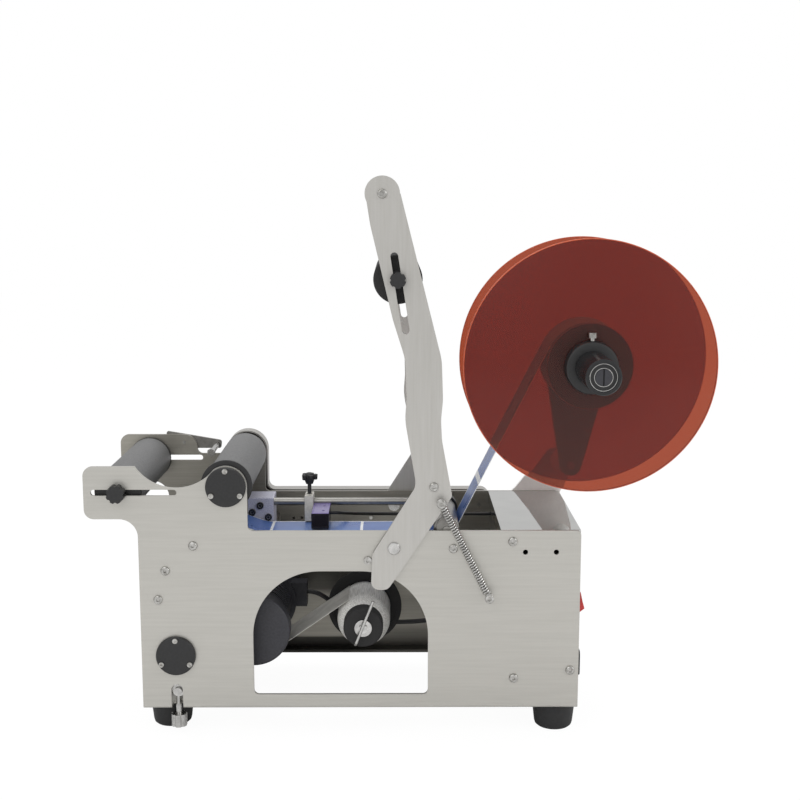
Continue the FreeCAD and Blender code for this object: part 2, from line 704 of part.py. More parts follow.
def left_knobs():
    shape = knob(LEFT_AXIS, KNOB_R, -9.5, -FACE_GAP, 8).cut(bar(LEFT_AXIS, AXLE_R, -20, 10))
    return both(shape)


def drive_cover():
    hump = 22.5
    outer = [(8, 32, 4), (8, 150, 10), (47, 205, 10), (65.4, 261.6, 0), (HUMP[0], HUMP[1], 0), (109.3, HUMP[1], 0),
             (109.3, TOP_Z, 8), (BOX_X, TOP_Z, 10), (BOX_X, 32, 4)]
    shell = join([plate(outer, COVER_Y0, COVER_Y1), bar(HUMP, hump, COVER_Y0, COVER_Y1)])
    t = COVER_T
    inner = [(8 + t, 32 + t, 3), (8 + t, 149.5, 9), (48.5, 204.5, 9), (66.8, 261.1, 0), (HUMP[0], HUMP[1], 0),
             (109.3 - t, HUMP[1], 0), (109.3 - t, TOP_Z - t, 9), (BOX_X - t, TOP_Z - t, 9), (BOX_X - t, 32 + t, 3)]
    inside = join([plate(inner, COVER_Y0 - 1, COVER_Y1 - t), bar(HUMP, hump - t, COVER_Y0 - 1, COVER_Y1 - t)])
    shell = shell.cut(inside)
    for at in STANDOFFS:
        shell = shell.cut(bar(at, SHANK_R, COVER_Y0 - 1, COVER_Y1 + 1))
    return shell


def cover_standoffs():
    return Part.makeCompound([bar(at, 4.0, FAR_OUT, COVER_Y1 - COVER_T).fuse(bar(at, SHANK_R, FAR_IN, FAR_OUT))
                              .cut(bar(at, SHANK_R, COVER_Y1 - 10, COVER_Y1)) for at in STANDOFFS])


def cover_screws():
    parts = []
    for at in STANDOFFS:
        head = bar(at, SCREW_R, COVER_Y1, COVER_Y1 + SCREW_H)
        head = head.cut(hexagon(at[0], at[1], 3.0, COVER_Y1 + 0.8, COVER_Y1 + 4))
        parts.append(head.fuse(bar(at, SHANK_R, COVER_Y1 - 10, COVER_Y1)))
    return Part.makeCompound(parts)


def drive_belts():
    a = closed_belt(MOTOR, MOTOR_PULLEY_R + FACE_GAP, TRACTION, TRACTION_PULLEY_R + FACE_GAP, BELT_T,
                    LAYER_A[0], LAYER_A[1])
    b = closed_belt(MOTOR, MOTOR_PULLEY_R + FACE_GAP, TAKE_UP, DRIVEN_PULLEY_R + FACE_GAP, BELT_T,
                    LAYER_B[0], LAYER_B[1])
    c = closed_belt(TRACTION, DRIVEN_PULLEY_R + FACE_GAP, HUMP, DRIVEN_PULLEY_R + FACE_GAP, BELT_T,
                    LAYER_B[0], LAYER_B[1])
    return Part.makeCompound([a, b, c])


def drive_motor():
    cap = bar(MOTOR, 37.0, 20.0, 36.0)
    cap = cap.makeFillet(2.5, [e for e in cap.Edges if abs(e.CenterOfMass.y - 20.0) < 0.01])
    body = bar(MOTOR, 31.0, 36.0, 112.0)
    parts = [cap, body, bar(MOTOR, 36.0, 112.0, FAR_IN)]
    motor = join(parts)
    for y in (44.0, 54.0, 64.0, 74.0, 84.0, 94.0, 104.0):
        motor = motor.cut(ring(MOTOR, 40.0, 29.5, y - 1.5, y + 1.5))
    motor = motor.fuse(box(*MOTOR_BOX)).removeSplitter()
    return motor.cut(bar(MOTOR, TAKE_UP_SHAFT_R + RUN_GAP, FAR_IN - 22.5, FAR_OUT))


def motor_cable():
    y, z = CABLE_HOLES[0]
    x, z0 = MOTOR_BOX[1], MOTOR_BOX[5] - 12.0
    return wire_path([(x, 125.0, z0), (x + 16.0, 125.0, z0), (x + 44.0, y, z - 20.0), (BOX_X - 57.0, y, z - 20.0),
                      (BOX_X - 32.0, y, z), (BOX_X, y, z)], 2.5, 12.0)


def take_up_drum():
    drum = bar(TAKE_UP, DRUM_R, 20.0, 90.0).cut(bar(TAKE_UP, TAKE_UP_SHAFT_R, 0, 100))
    drum = drum.makeChamfer(1.0, [e for e in drum.Edges if abs(e.CenterOfMass.y - 20.0) < 0.01 and e.Length > 100])
    groove = bar(CLIP_LEG, 1.8, 10.0, 88.0)
    return drum.cut(groove)


CLIP_ANGLE = math.radians(244.0)
CLIP_LEG = (TAKE_UP[0] + 17.9 * math.cos(CLIP_ANGLE), TAKE_UP[1] + 17.9 * math.sin(CLIP_ANGLE))


def take_up_flange():
    disc = bar(TAKE_UP, 39.0, 90.0, 93.0).cut(bar(TAKE_UP, 34.0, 89.0, 91.2)).fuse(bar(TAKE_UP, 28.0, 90.0, 91.2))
    return disc.removeSplitter().cut(bar(TAKE_UP, TAKE_UP_SHAFT_R, 0, 100))


def take_up_washer():
    washer = bar(TAKE_UP, 8.7, 18.5, 20.0)
    head = hexagon(TAKE_UP[0], TAKE_UP[1], 8.0, 15.6, 18.5)
    return washer.fuse(head).removeSplitter()


def paper_clip():
    y = 13.8
    dx = CLIP_LEG[0] - TAKE_UP[0]
    dz = CLIP_LEG[1] - TAKE_UP[1]
    end = (229.3, 134.6)
    return wire_path([(end[0], y, end[1]), (TAKE_UP[0] + dx, y, TAKE_UP[1] + dz), (CLIP_LEG[0], 85.0, CLIP_LEG[1])],
                     1.5, 4.0)


# Pinch roller levers
def pinch_levers():
    y0 = LEVER_Y
    y1 = LEVER_Y + LEVER_T
    arm = join([hull(LEVER_PIVOT, 6.0, PINCH, 6.0001, y0, y1), hull(LEVER_PIVOT, 6.0, LEVER_EYE, 5.0, y0, y1)])
    arm = arm.cut(bar(LEVER_PIVOT, PIN_R + RUN_GAP, y0 - 1, y1 + 1))
    arm = arm.cut(bar(PINCH, 4.0 + RUN_GAP, y0 - 1, y1 + 1))
    pin = bar(LEVER_EYE, PIN_R, 4.5, y1).fuse(bar(LEVER_EYE, 4.0, 1.5, 4.5))
    return both(arm.fuse(pin).removeSplitter())


def pinch_blocks():
    block = box(43.0, 57.0, PLATE_T, 11.2, FLANGE_TOP, 52.5)
    pin = bar(LEVER_PIVOT, PIN_R, 11.2, LEVER_Y + LEVER_T + 1.0)
    return both(block.fuse(pin).removeSplitter())


def pinch_roller():
    return join([bar(PINCH, PINCH_R, 25.0, FAR_IN - 22.0), bar(PINCH, 4.0, LEVER_Y - 1.0, FAR_OUT - LEVER_Y + 1.0)])


def swing_bolts():
    eye = bar(LEVER_EYE, 6.0, 5.0, 10.8).cut(bar(LEVER_EYE, PIN_R + RUN_GAP, 0, 20))
    shank = rod(LEVER_EYE[0] - 0.5, 7.9, 2.8, 6.0, LEVER_EYE[1] - 5.0)
    return both(eye.fuse(shank).removeSplitter())


def bolt_nuts():
    x = LEVER_EYE[0] - 0.5
    nut = rod(x, 7.9, 7.8, 8.0, 20.5)
    for i in range(6):
        angle = math.pi * i / 3
        nut = nut.cut(rod(x + 8.6 * math.cos(angle), 7.9 + 8.6 * math.sin(angle), 1.8, 7.0, 21.0))
    return both(nut.cut(rod(x, 7.9, 2.8, 0, 30)))


def idler_shaft():
    flange = bar(IDLER, 9.0, FAR_IN - 5.0, FAR_IN)
    return join([bar(IDLER, 4.0, 32.0, FAR_IN), flange, bar(IDLER, 6.0, 30.0, 32.0)])


def idler_roller():
    return ring(IDLER, IDLER_R, 4.0 + RUN_GAP, 33.0, 96.0)


def guide_roller_brackets():
    shape = join([plate([(294, 184, 2), (294, 209, 0), (315, 209, 0), (315, 184, 2)], PLATE_T, PLATE_T * 2),
                  bar((GUIDE[0], GUIDE[1] + 3.0), 10.0, PLATE_T, PLATE_T * 2),
                  box(293.8, 309.8, PLATE_T, PLATE_T * 2, 205.0, GUIDE[1] + 3.0)])
    shape = shape.cut(bar(GUIDE, GUIDE_SHAFT_R + RUN_GAP, 0, 20)).cut(bar(BRACKET_SCREW, SHANK_R, 0, 20))
    return both(shape)


# Pressing arm
def arm_plate():
    def up(share):
        return ELBOW_Z + share * ARM_RISE

    left = [(ARM_TOP[0] - 11.4, up(0.8933), 60), (ARM_TOP[0] + 9.8, up(0.5673), 60), (261.3, up(0.4273), 60),
            (262.4, up(0.2866), 60), (260.8, up(0.2153), 60), (270.9, ELBOW_Z, 30), (270.9, 254.2, 12)]
    lower = [(229.0, 188.0, 12), (227.5, 152.0, 8.0), (244.0, 152.0, 8.0), (306.8, 246.0, 6.0)]
    right = [(296.5, up(0.1422), 60), (295.5, up(0.2153), 60), (297.3, up(0.2866), 60), (296.0, up(0.4273), 60), (ARM_TOP[0] + 16.5, ARM_TOP[1] + 2.3, 0)]
    outline = [(ARM_TOP[0] - 16.3, ARM_TOP[1] + 2.3, 0)] + left + lower + right
    body = plate(outline, -ARM_GAP - PLATE_T, -ARM_GAP)
    body = join([body, bar(ARM_TOP, ARM_HEAD_R, -ARM_GAP - PLATE_T, -ARM_GAP)])
    above = box(ARM_TOP[0] - 40, ARM_TOP[0] + 40, -10, 10, ARM_TOP[1], ARM_TOP[1] + 25).cut(bar(ARM_TOP, ARM_HEAD_R, -10, 10))
    body = body.cut(above)
    body = body.cut(bar(ARM_PIVOT, PIVOT_R + RUN_GAP, -10, 10))
    body = body.cut(slot(PRESS_SLOT[0], PRESS_SLOT[1], PRESS_SLOT_HALF, -10, 10))
    for at in (ARM_TOP, ARM_BAR):
        body = body.cut(bar(at, SHANK_R, -10, 10))
    return body


def arm_screws():
    parts = []
    for at in (ARM_TOP, ARM_BAR):
        screw = outside_screw(at, 12.0)
        screw.translate(V(0, -ARM_GAP - PLATE_T, 0))
        parts.append(screw)
    return both(Part.makeCompound(parts))


def arm_bar(at, r):
    whole = bar(at, r, -ARM_GAP, FAR_OUT + ARM_GAP)
    return whole.cut(both(bar(at, SHANK_R, -ARM_GAP, 12.0 - ARM_GAP - PLATE_T)))


def spring_anchor(at, base):
    post = bar(at, PIN_R, SPRING_Y - 3.5, base)
    groove = ring(at, PIN_R + 1, PIN_R - 0.8, SPRING_Y - 1.0, SPRING_Y + 1.0)
    return post.cut(groove)


def pivot_pins():
    pin = bar(ARM_PIVOT, PIVOT_R, -6.0, PLATE_T)
    pin = pin.makeChamfer(0.8, [e for e in pin.Edges if abs(e.CenterOfMass.y + 6.0) < 0.01])
    return both(pin)


def press_parts():
    y0 = -ARM_GAP - PLATE_T
    axle = bar(PRESS, PRESS_AXLE_R, y0 - 9.0, FAR_OUT - y0 + 9.0)
    knobs = knob(PRESS, 7.7, y0 - 9.0, y0 - FACE_GAP, 6).cut(bar(PRESS, PRESS_AXLE_R, -30, 30))
    roller = ring(PRESS, PRESS_R, PRESS_AXLE_R + RUN_GAP, 5.0, FAR_OUT - 5.0)
    roller = roller.makeFillet(2.0, [e for e in roller.Edges if e.Length > 120 and abs(e.CenterOfMass.z - PRESS[1]) < 1
                                     and (abs(e.CenterOfMass.y - 5) < 0.1 or abs(e.CenterOfMass.y - FAR_OUT + 5) < 0.1)])
    collars = both(ring(PRESS, 8.0, PRESS_AXLE_R, -ARM_GAP + FACE_GAP, 4.6))
    return axle.fuse(collars.Solids).removeSplitter(), both(knobs), roller


def spring_points():
    dx = SPRING_TOP[0] - SPRING_LOW[0]
    dz = SPRING_TOP[1] - SPRING_LOW[1]
    length = math.hypot(dx, dz)
    return dx / length, dz / length, length


def spring_piece(start, end, hook_at):
    """Close-wound part of the spring as a tube, with a hook round its anchor."""
    ux, uz, length = spring_points()

    def along(d):
        return V(SPRING_LOW[0] + ux * d, SPRING_Y, SPRING_LOW[1] + uz * d)
    tube = Part.makeCylinder(SPRING_R, end - start, along(start), V(ux, 0, uz))
    tube = tube.cut(Part.makeCylinder(SPRING_R - 1.2, end - start, along(start), V(ux, 0, uz)))
    hook = Part.makeTorus(PIN_R + 0.3, 0.7, along(hook_at), V(0, 1, 0))
    if hook_at > length / 2:
        near = end
        far = hook_at - PIN_R
    else:
        near = hook_at + PIN_R
        far = start
    neck = Part.makeCylinder(0.7, far - near, along(near), V(ux, 0, uz))
    plug = Part.makeCylinder(SPRING_R - 1.2, 1.0, along(start if hook_at < length / 2 else end - 1.0), V(ux, 0, uz))
    return join([tube, plug, neck, hook])


# Reel
def near_disc():
    disc = ring(REEL, DISC_R, SLEEVE_R + RUN_GAP, DISC_NEAR, DISC_NEAR + DISC_T)
    return disc


def disc_collar():
    collar = ring(REEL, 26.0, SLEEVE_R + RUN_GAP, 14.0, DISC_NEAR)
    collar = collar.makeChamfer(1.0, [e for e in collar.Edges if abs(e.CenterOfMass.y - 14.0) < 0.01 and e.Length > 150])
    return collar.cut(Part.makeCylinder(2.5, 20.0, V(REEL[0], 20.0, REEL[1] + SLEEVE_R), V(0, 0, 1)))


def collar_screw():
    start = REEL[1] + SLEEVE_R + 0.3
    shank = Part.makeCylinder(2.5, 26.0 - SLEEVE_R - 0.3, V(REEL[0], 20.0, start), V(0, 0, 1))
    head = Part.makeCylinder(4.5, 6.0, V(REEL[0], 20.0, REEL[1] + 26.0), V(0, 0, 1))
    return shank.fuse(head).removeSplitter()


def reel_sleeve():
    sleeve = ring(REEL, SLEEVE_R, SPINDLE_R + RUN_GAP, SLEEVE_Y0, DISC_FAR + 4.0)
    sleeve = sleeve.cut(bar(REEL, 13.2, SLEEVE_Y0, SLEEVE_Y0 + 5.3))
    sleeve = sleeve.cut(ring(REEL, SLEEVE_R + 1.0, SLEEVE_R - 0.5, PIN_END[1], PIN_END[1] + 0.8))
    outer = [e for e in sleeve.Edges if abs(e.CenterOfMass.y - SLEEVE_Y0) < 0.01 and e.Length > 100]
    return sleeve.makeChamfer(0.8, outer)


def reel_spindle():
    return join([bar(REEL, SPINDLE_R, SLEEVE_Y0 + 5.0, LINK_Y + LINK_T + 1.0),
                 hexagon(REEL[0], REEL[1], 22.0, LINK_Y + LINK_T, LINK_Y + LINK_T + 8.0)])


def spindle_end():
    washer = bar(REEL, 12.8, SLEEVE_Y0 + 3.0, SLEEVE_Y0 + 5.0)
    screw = bar(REEL, 8.2, SLEEVE_Y0, SLEEVE_Y0 + 3.0)
    groove = box(REEL[0] - 9, REEL[0] + 9, SLEEVE_Y0 - 1, SLEEVE_Y0 + 1.2, REEL[1] - 0.9, REEL[1] + 0.9)
    groove.rotate(V(REEL[0], 0, REEL[1]), V(0, 1, 0), 25)
    return washer, screw.cut(groove)


def reel_link():
    link = hull(REEL, 34.0, LINK_LOW, 10.5, LINK_Y, LINK_Y + LINK_T)
    return link.cut(bar(REEL, SPINDLE_R, 0, POST_Y)).cut(bar(LINK_LOW, 4.0, 0, POST_Y))


def link_spacer():
    tube = ring(LINK_LOW, 10.0, 4.0, LINK_Y + LINK_T, POST_Y)
    bolt = bar(LINK_LOW, 4.0, LINK_Y, POST_Y + POST_T)
    nut = hexagon(LINK_LOW[0], LINK_LOW[1], 13.0, POST_Y + POST_T, POST_Y + POST_T + 6.0)
    return tube, join([bolt, nut])


def reel_post():
    x = BODY_LEN
    outline = [(x - 62.5, 177, 8), (x - 14.5, 177, 8), (x + 4.4, 214, 18), (x + 15, 252, 12), (x + 15, 271, 8),
               (x - 6.5, 271, 8), (x - 33.5, 232, 20), (x - 47.9, 214, 12), (x - 62.5, 200, 8)]
    post = plate(outline, FAR_OUT, POST_Y + POST_T)
    for at in POST_HOLES:
        post = post.cut(bar(at, POST_HOLE_R, FAR_IN, POST_Y + 10))
    return post.cut(bar(LINK_LOW, 4.0, FAR_IN, POST_Y + 10))


def post_bolts():
    parts = []
    for at in POST_HOLES:
        head = hexagon(at[0], at[1], 8.0, POST_Y + POST_T, POST_Y + POST_T + 3.5)
        parts.append(head.fuse(bar(at, POST_HOLE_R, FAR_IN, POST_Y + POST_T)).removeSplitter())
    return Part.makeCompound(parts)


# Bottle stop
def bottle_stop_bracket():
    outline = [(-1.0, 278.0, 2), (59.6, 267.6, 3), (58.6, 258.8, 2), (-4.0, 258.8, 2)]
    piece = plate(outline, FAR_OUT, FAR_OUT + PLATE_T)
    return piece.cut(bar(STOP_PLATE_SCREW, SHANK_R, FAR_IN, COVER_Y1)).cut(bar(STOP_BOLT, STOP_BOLT_R + RUN_GAP, FAR_IN, COVER_Y1))


def bracket_screw():
    head = bar(STOP_PLATE_SCREW, SCREW_R, FAR_OUT + PLATE_T, FAR_OUT + PLATE_T + SCREW_H)
    return head.fuse(bar(STOP_PLATE_SCREW, SHANK_R, FAR_IN, FAR_OUT + PLATE_T)).removeSplitter()


def stop_bolt():
    head = FAR_IN - 42.5
    return join([bar(STOP_BOLT, STOP_BOLT_R, head, FAR_OUT + 12.0), hexagon(STOP_BOLT[0], STOP_BOLT[1], 8.0, head, head + 4.0)])


block, block_screws = table_block()
roller, roller_flange = right_roller()
right_shaft = shaft_with_pulley(HUMP, RIGHT_SHAFT_R, -2.9, LAYER_B[1], [(DRIVEN_PULLEY_R, LAYER_B)])
traction_shaft = shaft_with_pulley(TRACTION, RIGHT_SHAFT_R, -2.9, LAYER_B[1],
                                   [(TRACTION_PULLEY_R, LAYER_A), (DRIVEN_PULLEY_R, LAYER_B)])
take_up_shaft = shaft_with_pulley(TAKE_UP, TAKE_UP_SHAFT_R, 20.0, LAYER_B[1], [(DRIVEN_PULLEY_R, LAYER_B)])
left_body, left_ends = left_roller()
left_axle = bar(LEFT_AXIS, AXLE_R, -9.5, FAR_OUT + 9.5)
press_axle, press_knobs, press_roller = press_parts()
washer, end_screw = spindle_end()
spacer, link_bolt = link_spacer()
reach = spring_points()[2]


def group(*shapes):
    return Part.makeCompound(list(shapes))


save("near_side_plate", near_side_plate())
save("far_side_plate", far_side_plate())
save("frame_screws", group(frame_screws(), cover_screws(), bracket_screw(), post_bolts(), cap_screws(), *block_screws))
save("frame_bars", group(tie_bars(), table_beam(), sensor_rod(), cover_standoffs()))
save("frame_pins", group(pivot_pins(), spring_anchor(SPRING_LOW, PLATE_T), pinch_blocks(), idler_shaft()))
save("rubber_feet", rubber_feet())
save("roller_bearings", group(bearing_caps(), bearing_housings(), roller_bearings()))
save("end_panel", end_panel())
save("compartment_panels", group(compartment_wall(), compartment_floor()))
save("top_deck", top_deck())
save("rocker", rocker())
save("power_fittings", group(switch_bezel(), power_inlet()))
save("label_table", label_table())
save("table_block", block)
save("sensor_clamp", sensor_clamp())
save("label_sensor", label_sensor())
save("sensor_knob", sensor_knob())
save("sensor_cable", sensor_cable())
save("label_web", label_web())
save("backing_web", backing_web())
save("right_roller", group(roller, right_shaft))
save("right_roller_flange", roller_flange)
save("traction_roller", group(ring(TRACTION, TRACTION_R, RIGHT_SHAFT_R, 25.0, FAR_IN - 22.5), traction_shaft))
save("left_roller", left_body)
save("left_roller_ends", left_ends)
save("left_knobs", group(left_knobs(), left_axle))
save("drive_cover", drive_cover())
save("drive_belts", drive_belts())
save("drive_motor", drive_motor())
save("motor_pulley", shaft_with_pulley(MOTOR, TAKE_UP_SHAFT_R, FAR_IN - 21.5, LAYER_B[1],
                                       [(MOTOR_PULLEY_R, LAYER_A), (MOTOR_PULLEY_R, LAYER_B)]))
save("motor_cable", motor_cable())
save("take_up_drum", group(take_up_drum(), take_up_flange()))
save("take_up_paper", ring(TAKE_UP, PAPER_R, DRUM_R, WEB_Y0, WEB_Y1))
save("take_up_shaft", join([take_up_shaft, take_up_washer()]))
save("paper_clip", paper_clip())
save("pinch_levers", pinch_levers())
save("pinch_roller", pinch_roller())
save("swing_bolts", group(swing_bolts(), bolt_nuts()))
save("idler_roller", idler_roller())
save("guide_roller_brackets", guide_roller_brackets())
save("guide_roller", join([bar(GUIDE, GUIDE_R, 8.0, 91.0), bar(GUIDE, GUIDE_SHAFT_R, 3.3, FAR_IN - 0.3)]))
save("guide_collar", ring(GUIDE, 15.0, GUIDE_SHAFT_R, 91.0, 103.0))
save("near_arm_plate", arm_plate())
save("far_arm_plate", mirrored(arm_plate()))
save("arm_bars", group(arm_bar(ARM_TOP, 9.0), arm_bar(ARM_BAR, 6.0)))
save("arm_screws", group(arm_screws(), spring_anchor(SPRING_TOP, -ARM_GAP - PLATE_T)))
save("press_axle", group(press_axle, press_knobs))
save("press_roller", press_roller)
save("return_spring", spring_piece(16.0, reach - 16.0, 0.0))
save("spring_hook", spring_piece(reach - 16.0, reach - 13.0, reach))
save("near_disc", near_disc())
save("disc_collar", group(disc_collar(), collar_screw()))
save("far_disc", ring(REEL, DISC_R, SLEEVE_R, DISC_FAR, DISC_FAR + DISC_T))
save("reel_hub", group(ring(REEL, HUB_R, SLEEVE_R, 31.0, DISC_FAR), reel_sleeve()))
save("label_roll", ring(REEL, ROLL_R, HUB_R, WEB_Y0, WEB_Y1))
save("reel_spindle", group(reel_spindle(), washer, end_screw))
save("reel_link", reel_link())
save("reel_post", group(reel_post(), spacer, link_bolt))
save("bottle_stop_bracket", bottle_stop_bracket())
save("stop_bolt", stop_bolt())
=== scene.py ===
import math

import bmesh
import bpy
from mathutils import Matrix, Vector


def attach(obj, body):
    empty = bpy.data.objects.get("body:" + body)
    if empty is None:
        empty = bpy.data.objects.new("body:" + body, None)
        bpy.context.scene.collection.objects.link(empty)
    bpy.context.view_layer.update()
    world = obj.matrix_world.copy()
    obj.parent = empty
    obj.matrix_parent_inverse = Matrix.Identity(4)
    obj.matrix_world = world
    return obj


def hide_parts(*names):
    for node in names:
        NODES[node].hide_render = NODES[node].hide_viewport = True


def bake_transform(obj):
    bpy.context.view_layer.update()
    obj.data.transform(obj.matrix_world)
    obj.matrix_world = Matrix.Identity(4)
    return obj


# The bottle labelling machine, dressed over its solid model
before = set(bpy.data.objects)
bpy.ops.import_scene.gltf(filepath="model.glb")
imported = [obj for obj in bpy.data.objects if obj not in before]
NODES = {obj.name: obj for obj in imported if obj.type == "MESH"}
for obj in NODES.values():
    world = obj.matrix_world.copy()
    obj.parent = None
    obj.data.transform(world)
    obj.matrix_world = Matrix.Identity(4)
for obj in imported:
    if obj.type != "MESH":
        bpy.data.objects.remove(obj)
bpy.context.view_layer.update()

# Sizes in millimetres in the machine's own frame: X from the left edge of the
# side plates, Y from the outer face of the near plate, Z from the floor.
# An axis along Y is given by its X and Z
ORIGIN_X = 258.1
ORIGIN_Y = 74.45
FAR_PLATE_Y = 172.5
FIT = 0.05
GAP = 0.1
RIGHT_ROLLER = (86.8, 254.6)
LEFT_ROLLER = (-19.0, 248.8)
ROLLER_R = 22.7
ROLLER_SHAFT_R = 6.0
PULLEY_R = 15.0
PRESS_ROLLER = (254.134, 455.084)
PRESS_R = 23.6
GUIDE_ROLLER = (301.8, 210.4)
GUIDE_R = 12.7
GUIDE_SHAFT_R = 4.0
TAKE_UP = (219.1, 104.7)
DRUM_R = 20.0
WOUND_R = 27.0
REEL = (443.0, 368.5)
DISC_R = 125.0
DISC_T = 3.0
DISC_RIM = 1.0
NEAR_DISC_Y = 26.0
FAR_DISC_Y = 99.5
COLLAR_R = 26.0
COLLAR_Y = 14.0
COLLAR_SCREW_Y = 20.0
FLANGE_R = 42.0
CORE_R = 37.7
CORE_Y = 31.0
SLEEVE_R = 17.0
SLEEVE_Y0 = -52.0
SLEEVE_Y1 = 103.4
SPINDLE_R = 8.0
SPINDLE_Y0 = -47.2
SPINDLE_Y1 = 124.4
SLOT = 1.4
SPINDLE_SCREW_Y = -50.4
SPINDLE_NUT_Y = 119.2
ANCHOR_Y = -12.55
SPRING_LOW = (343.4, 145.3)
SPRING_TOP = (295.9, 240.2)
SPRING_Y = -9.0
WIRE_R = 0.95
COIL_R = 3.15
COIL_TURNS = 36
COIL_START = 5.5
EYE_R = 3.5
SENSOR_KNOB = (161.5, 97.0)
WING_R = 5.9
WING_Z = 243.4
SENSOR_TOP_Z = 215.3
SENSOR_LEAD = [(184.0, 88.0, 207.0), (195.0, 88.0, 207.0), (215.0, 150.0, 190.0), (357.0, 150.0, 190.0)]
SENSOR_LEAD_D = 3.6
MOTOR_LEAD = [(156.0, 125.0, 110.0), (172.0, 125.0, 110.0), (200.0, 140.0, 70.0), (300.0, 140.0, 70.0),
              (325.0, 140.0, 90.0), (357.0, 140.0, 90.0)]
MOTOR_LEAD_D = 5.0
BLOCK_SCREWS = [(110.0, 214.0), (101.6, 206.8), (118.5, 201.6)]
BLOCK_SCREW_R = 3.7
BLOCK_FACE = 91.0
FEET = [(22.5, 38.0), (412.8, 28.0), (22.5, 137.5), (412.8, 147.5)]
LABEL_GAPS = (125.0, 217.0, 336.0)
LABEL_GAP = 2.8
LABEL_MIDDLE_Y = 64.5
LABEL_WIDTH = 46.4

# Painted shade on the far plate's inner side: below and above these X places,
# the share of light painted into its colour at each height Z
SHADE_LEFT_X = 195.0
SHADE_RIGHT_X = 240.0
SHADE_TOP_Z = 300
SHADE_LEFT = [(34, 0.08), (41, 0.15), (43, 1.0), (90, 0.75), (98, 0.2), (150, 0.12), (200, 0.5), (270, 0.85)]
SHADE_RIGHT = [(34, 0.25), (50, 0.5), (60, 0.85), (110, 0.85), (160, 0.7), (200, 0.65), (230, 0.72),
               (270, 0.85)]

# Camera and lamps, placed in the machine's frame, with angles in degrees,
# lamp sizes in metres and powers in watts
CAMERA_PLACE = (250.8, -1190.0, 525.6)
CAMERA_LENS = 56.4
CAMERA_DOWN = 8.87
CAMERA_TURN = -0.254
LAMP_TARGET = (250.0, 80.0, 220.0)
LAMPS = [
    ("key_lamp", (-500.0, -1300.0, 1500.0), (1.2, 1.2), 10.0),
    ("fill_lamp", (2100.0, -900.0, 1100.0), (1.0, 1.0), 9.0),
    ("top_lamp", (250.0, 500.0, 1700.0), (1.4, 0.8), 8.0),
]
ROOM_LIGHT = 0.76
FLOOR_GLOW = 1.02
FLOOR_SEEN = 0.94
FLOOR_HALF = 6.0


def at(x, y, z):
    """A place in the machine's frame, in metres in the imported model's frame."""
    return Vector(((x - ORIGIN_X) / 1000, (y - ORIGIN_Y) / 1000, z / 1000))


def shade(red, green, blue):
    """A colour given as it looks on screen, 0 to 255, as linear light."""
    parts = []
    for level in (red, green, blue):
        level = level / 255
        parts.append(level / 12.92 if level <= 0.04045 else ((level + 0.055) / 1.055) ** 2.4)
    return (*parts, 1.0)


# Steps that finishes share
def feed(tree, term, socket):
    """Gives a socket another socket's value, or a plain one."""
    if isinstance(term, bpy.types.NodeSocket):
        tree.links.new(term, socket)
    else:
        socket.default_value = term


def reckon(tree, operation, *terms):
    """A number worked out from sockets and plain numbers."""
    step = tree.nodes.new("ShaderNodeMath")
    step.operation = operation
    for term, socket in zip(terms, step.inputs):
        feed(tree, term, socket)
    return step.outputs["Value"]


def mix_colours(tree, share, first, second, way="MIX"):
    """One colour laid over another by a share."""
    mix = tree.nodes.new("ShaderNodeMix")
    mix.data_type = "RGBA"
    mix.blend_type = way
    tree.links.new(share, mix.inputs["Factor"])
    feed(tree, first, mix.inputs["A"])
    feed(tree, second, mix.inputs["B"])
    return mix.outputs["Result"]


def split_place(tree):
    """The place on the model as X, Y and Z sockets, in metres."""
    place = tree.nodes.new("ShaderNodeTexCoord")
    split = tree.nodes.new("ShaderNodeSeparateXYZ")
    tree.links.new(place.outputs["Object"], split.inputs["Vector"])
    return split.outputs


def spread(tree, value, low, high):
    """A value as a share of the way from low to high."""
    share = tree.nodes.new("ShaderNodeMapRange")
    share.inputs["From Min"].default_value = low
    share.inputs["From Max"].default_value = high
    tree.links.new(value, share.inputs["Value"])
    return share.outputs["Result"]


def seen_straight(tree):
    """Whether the camera looks here, itself or through clear sheet."""
    path = tree.nodes.new("ShaderNodeLightPath")
    return reckon(tree, "MAXIMUM", path.outputs["Is Camera Ray"], path.outputs["Is Transmission Ray"])


# Finishes
ALONG_X = (0.04, 1, 1)
ALONG_Z = (1, 1, 0.04)
TURNED = (1, 0.03, 1)
WOUND = (1, 0.05, 1)


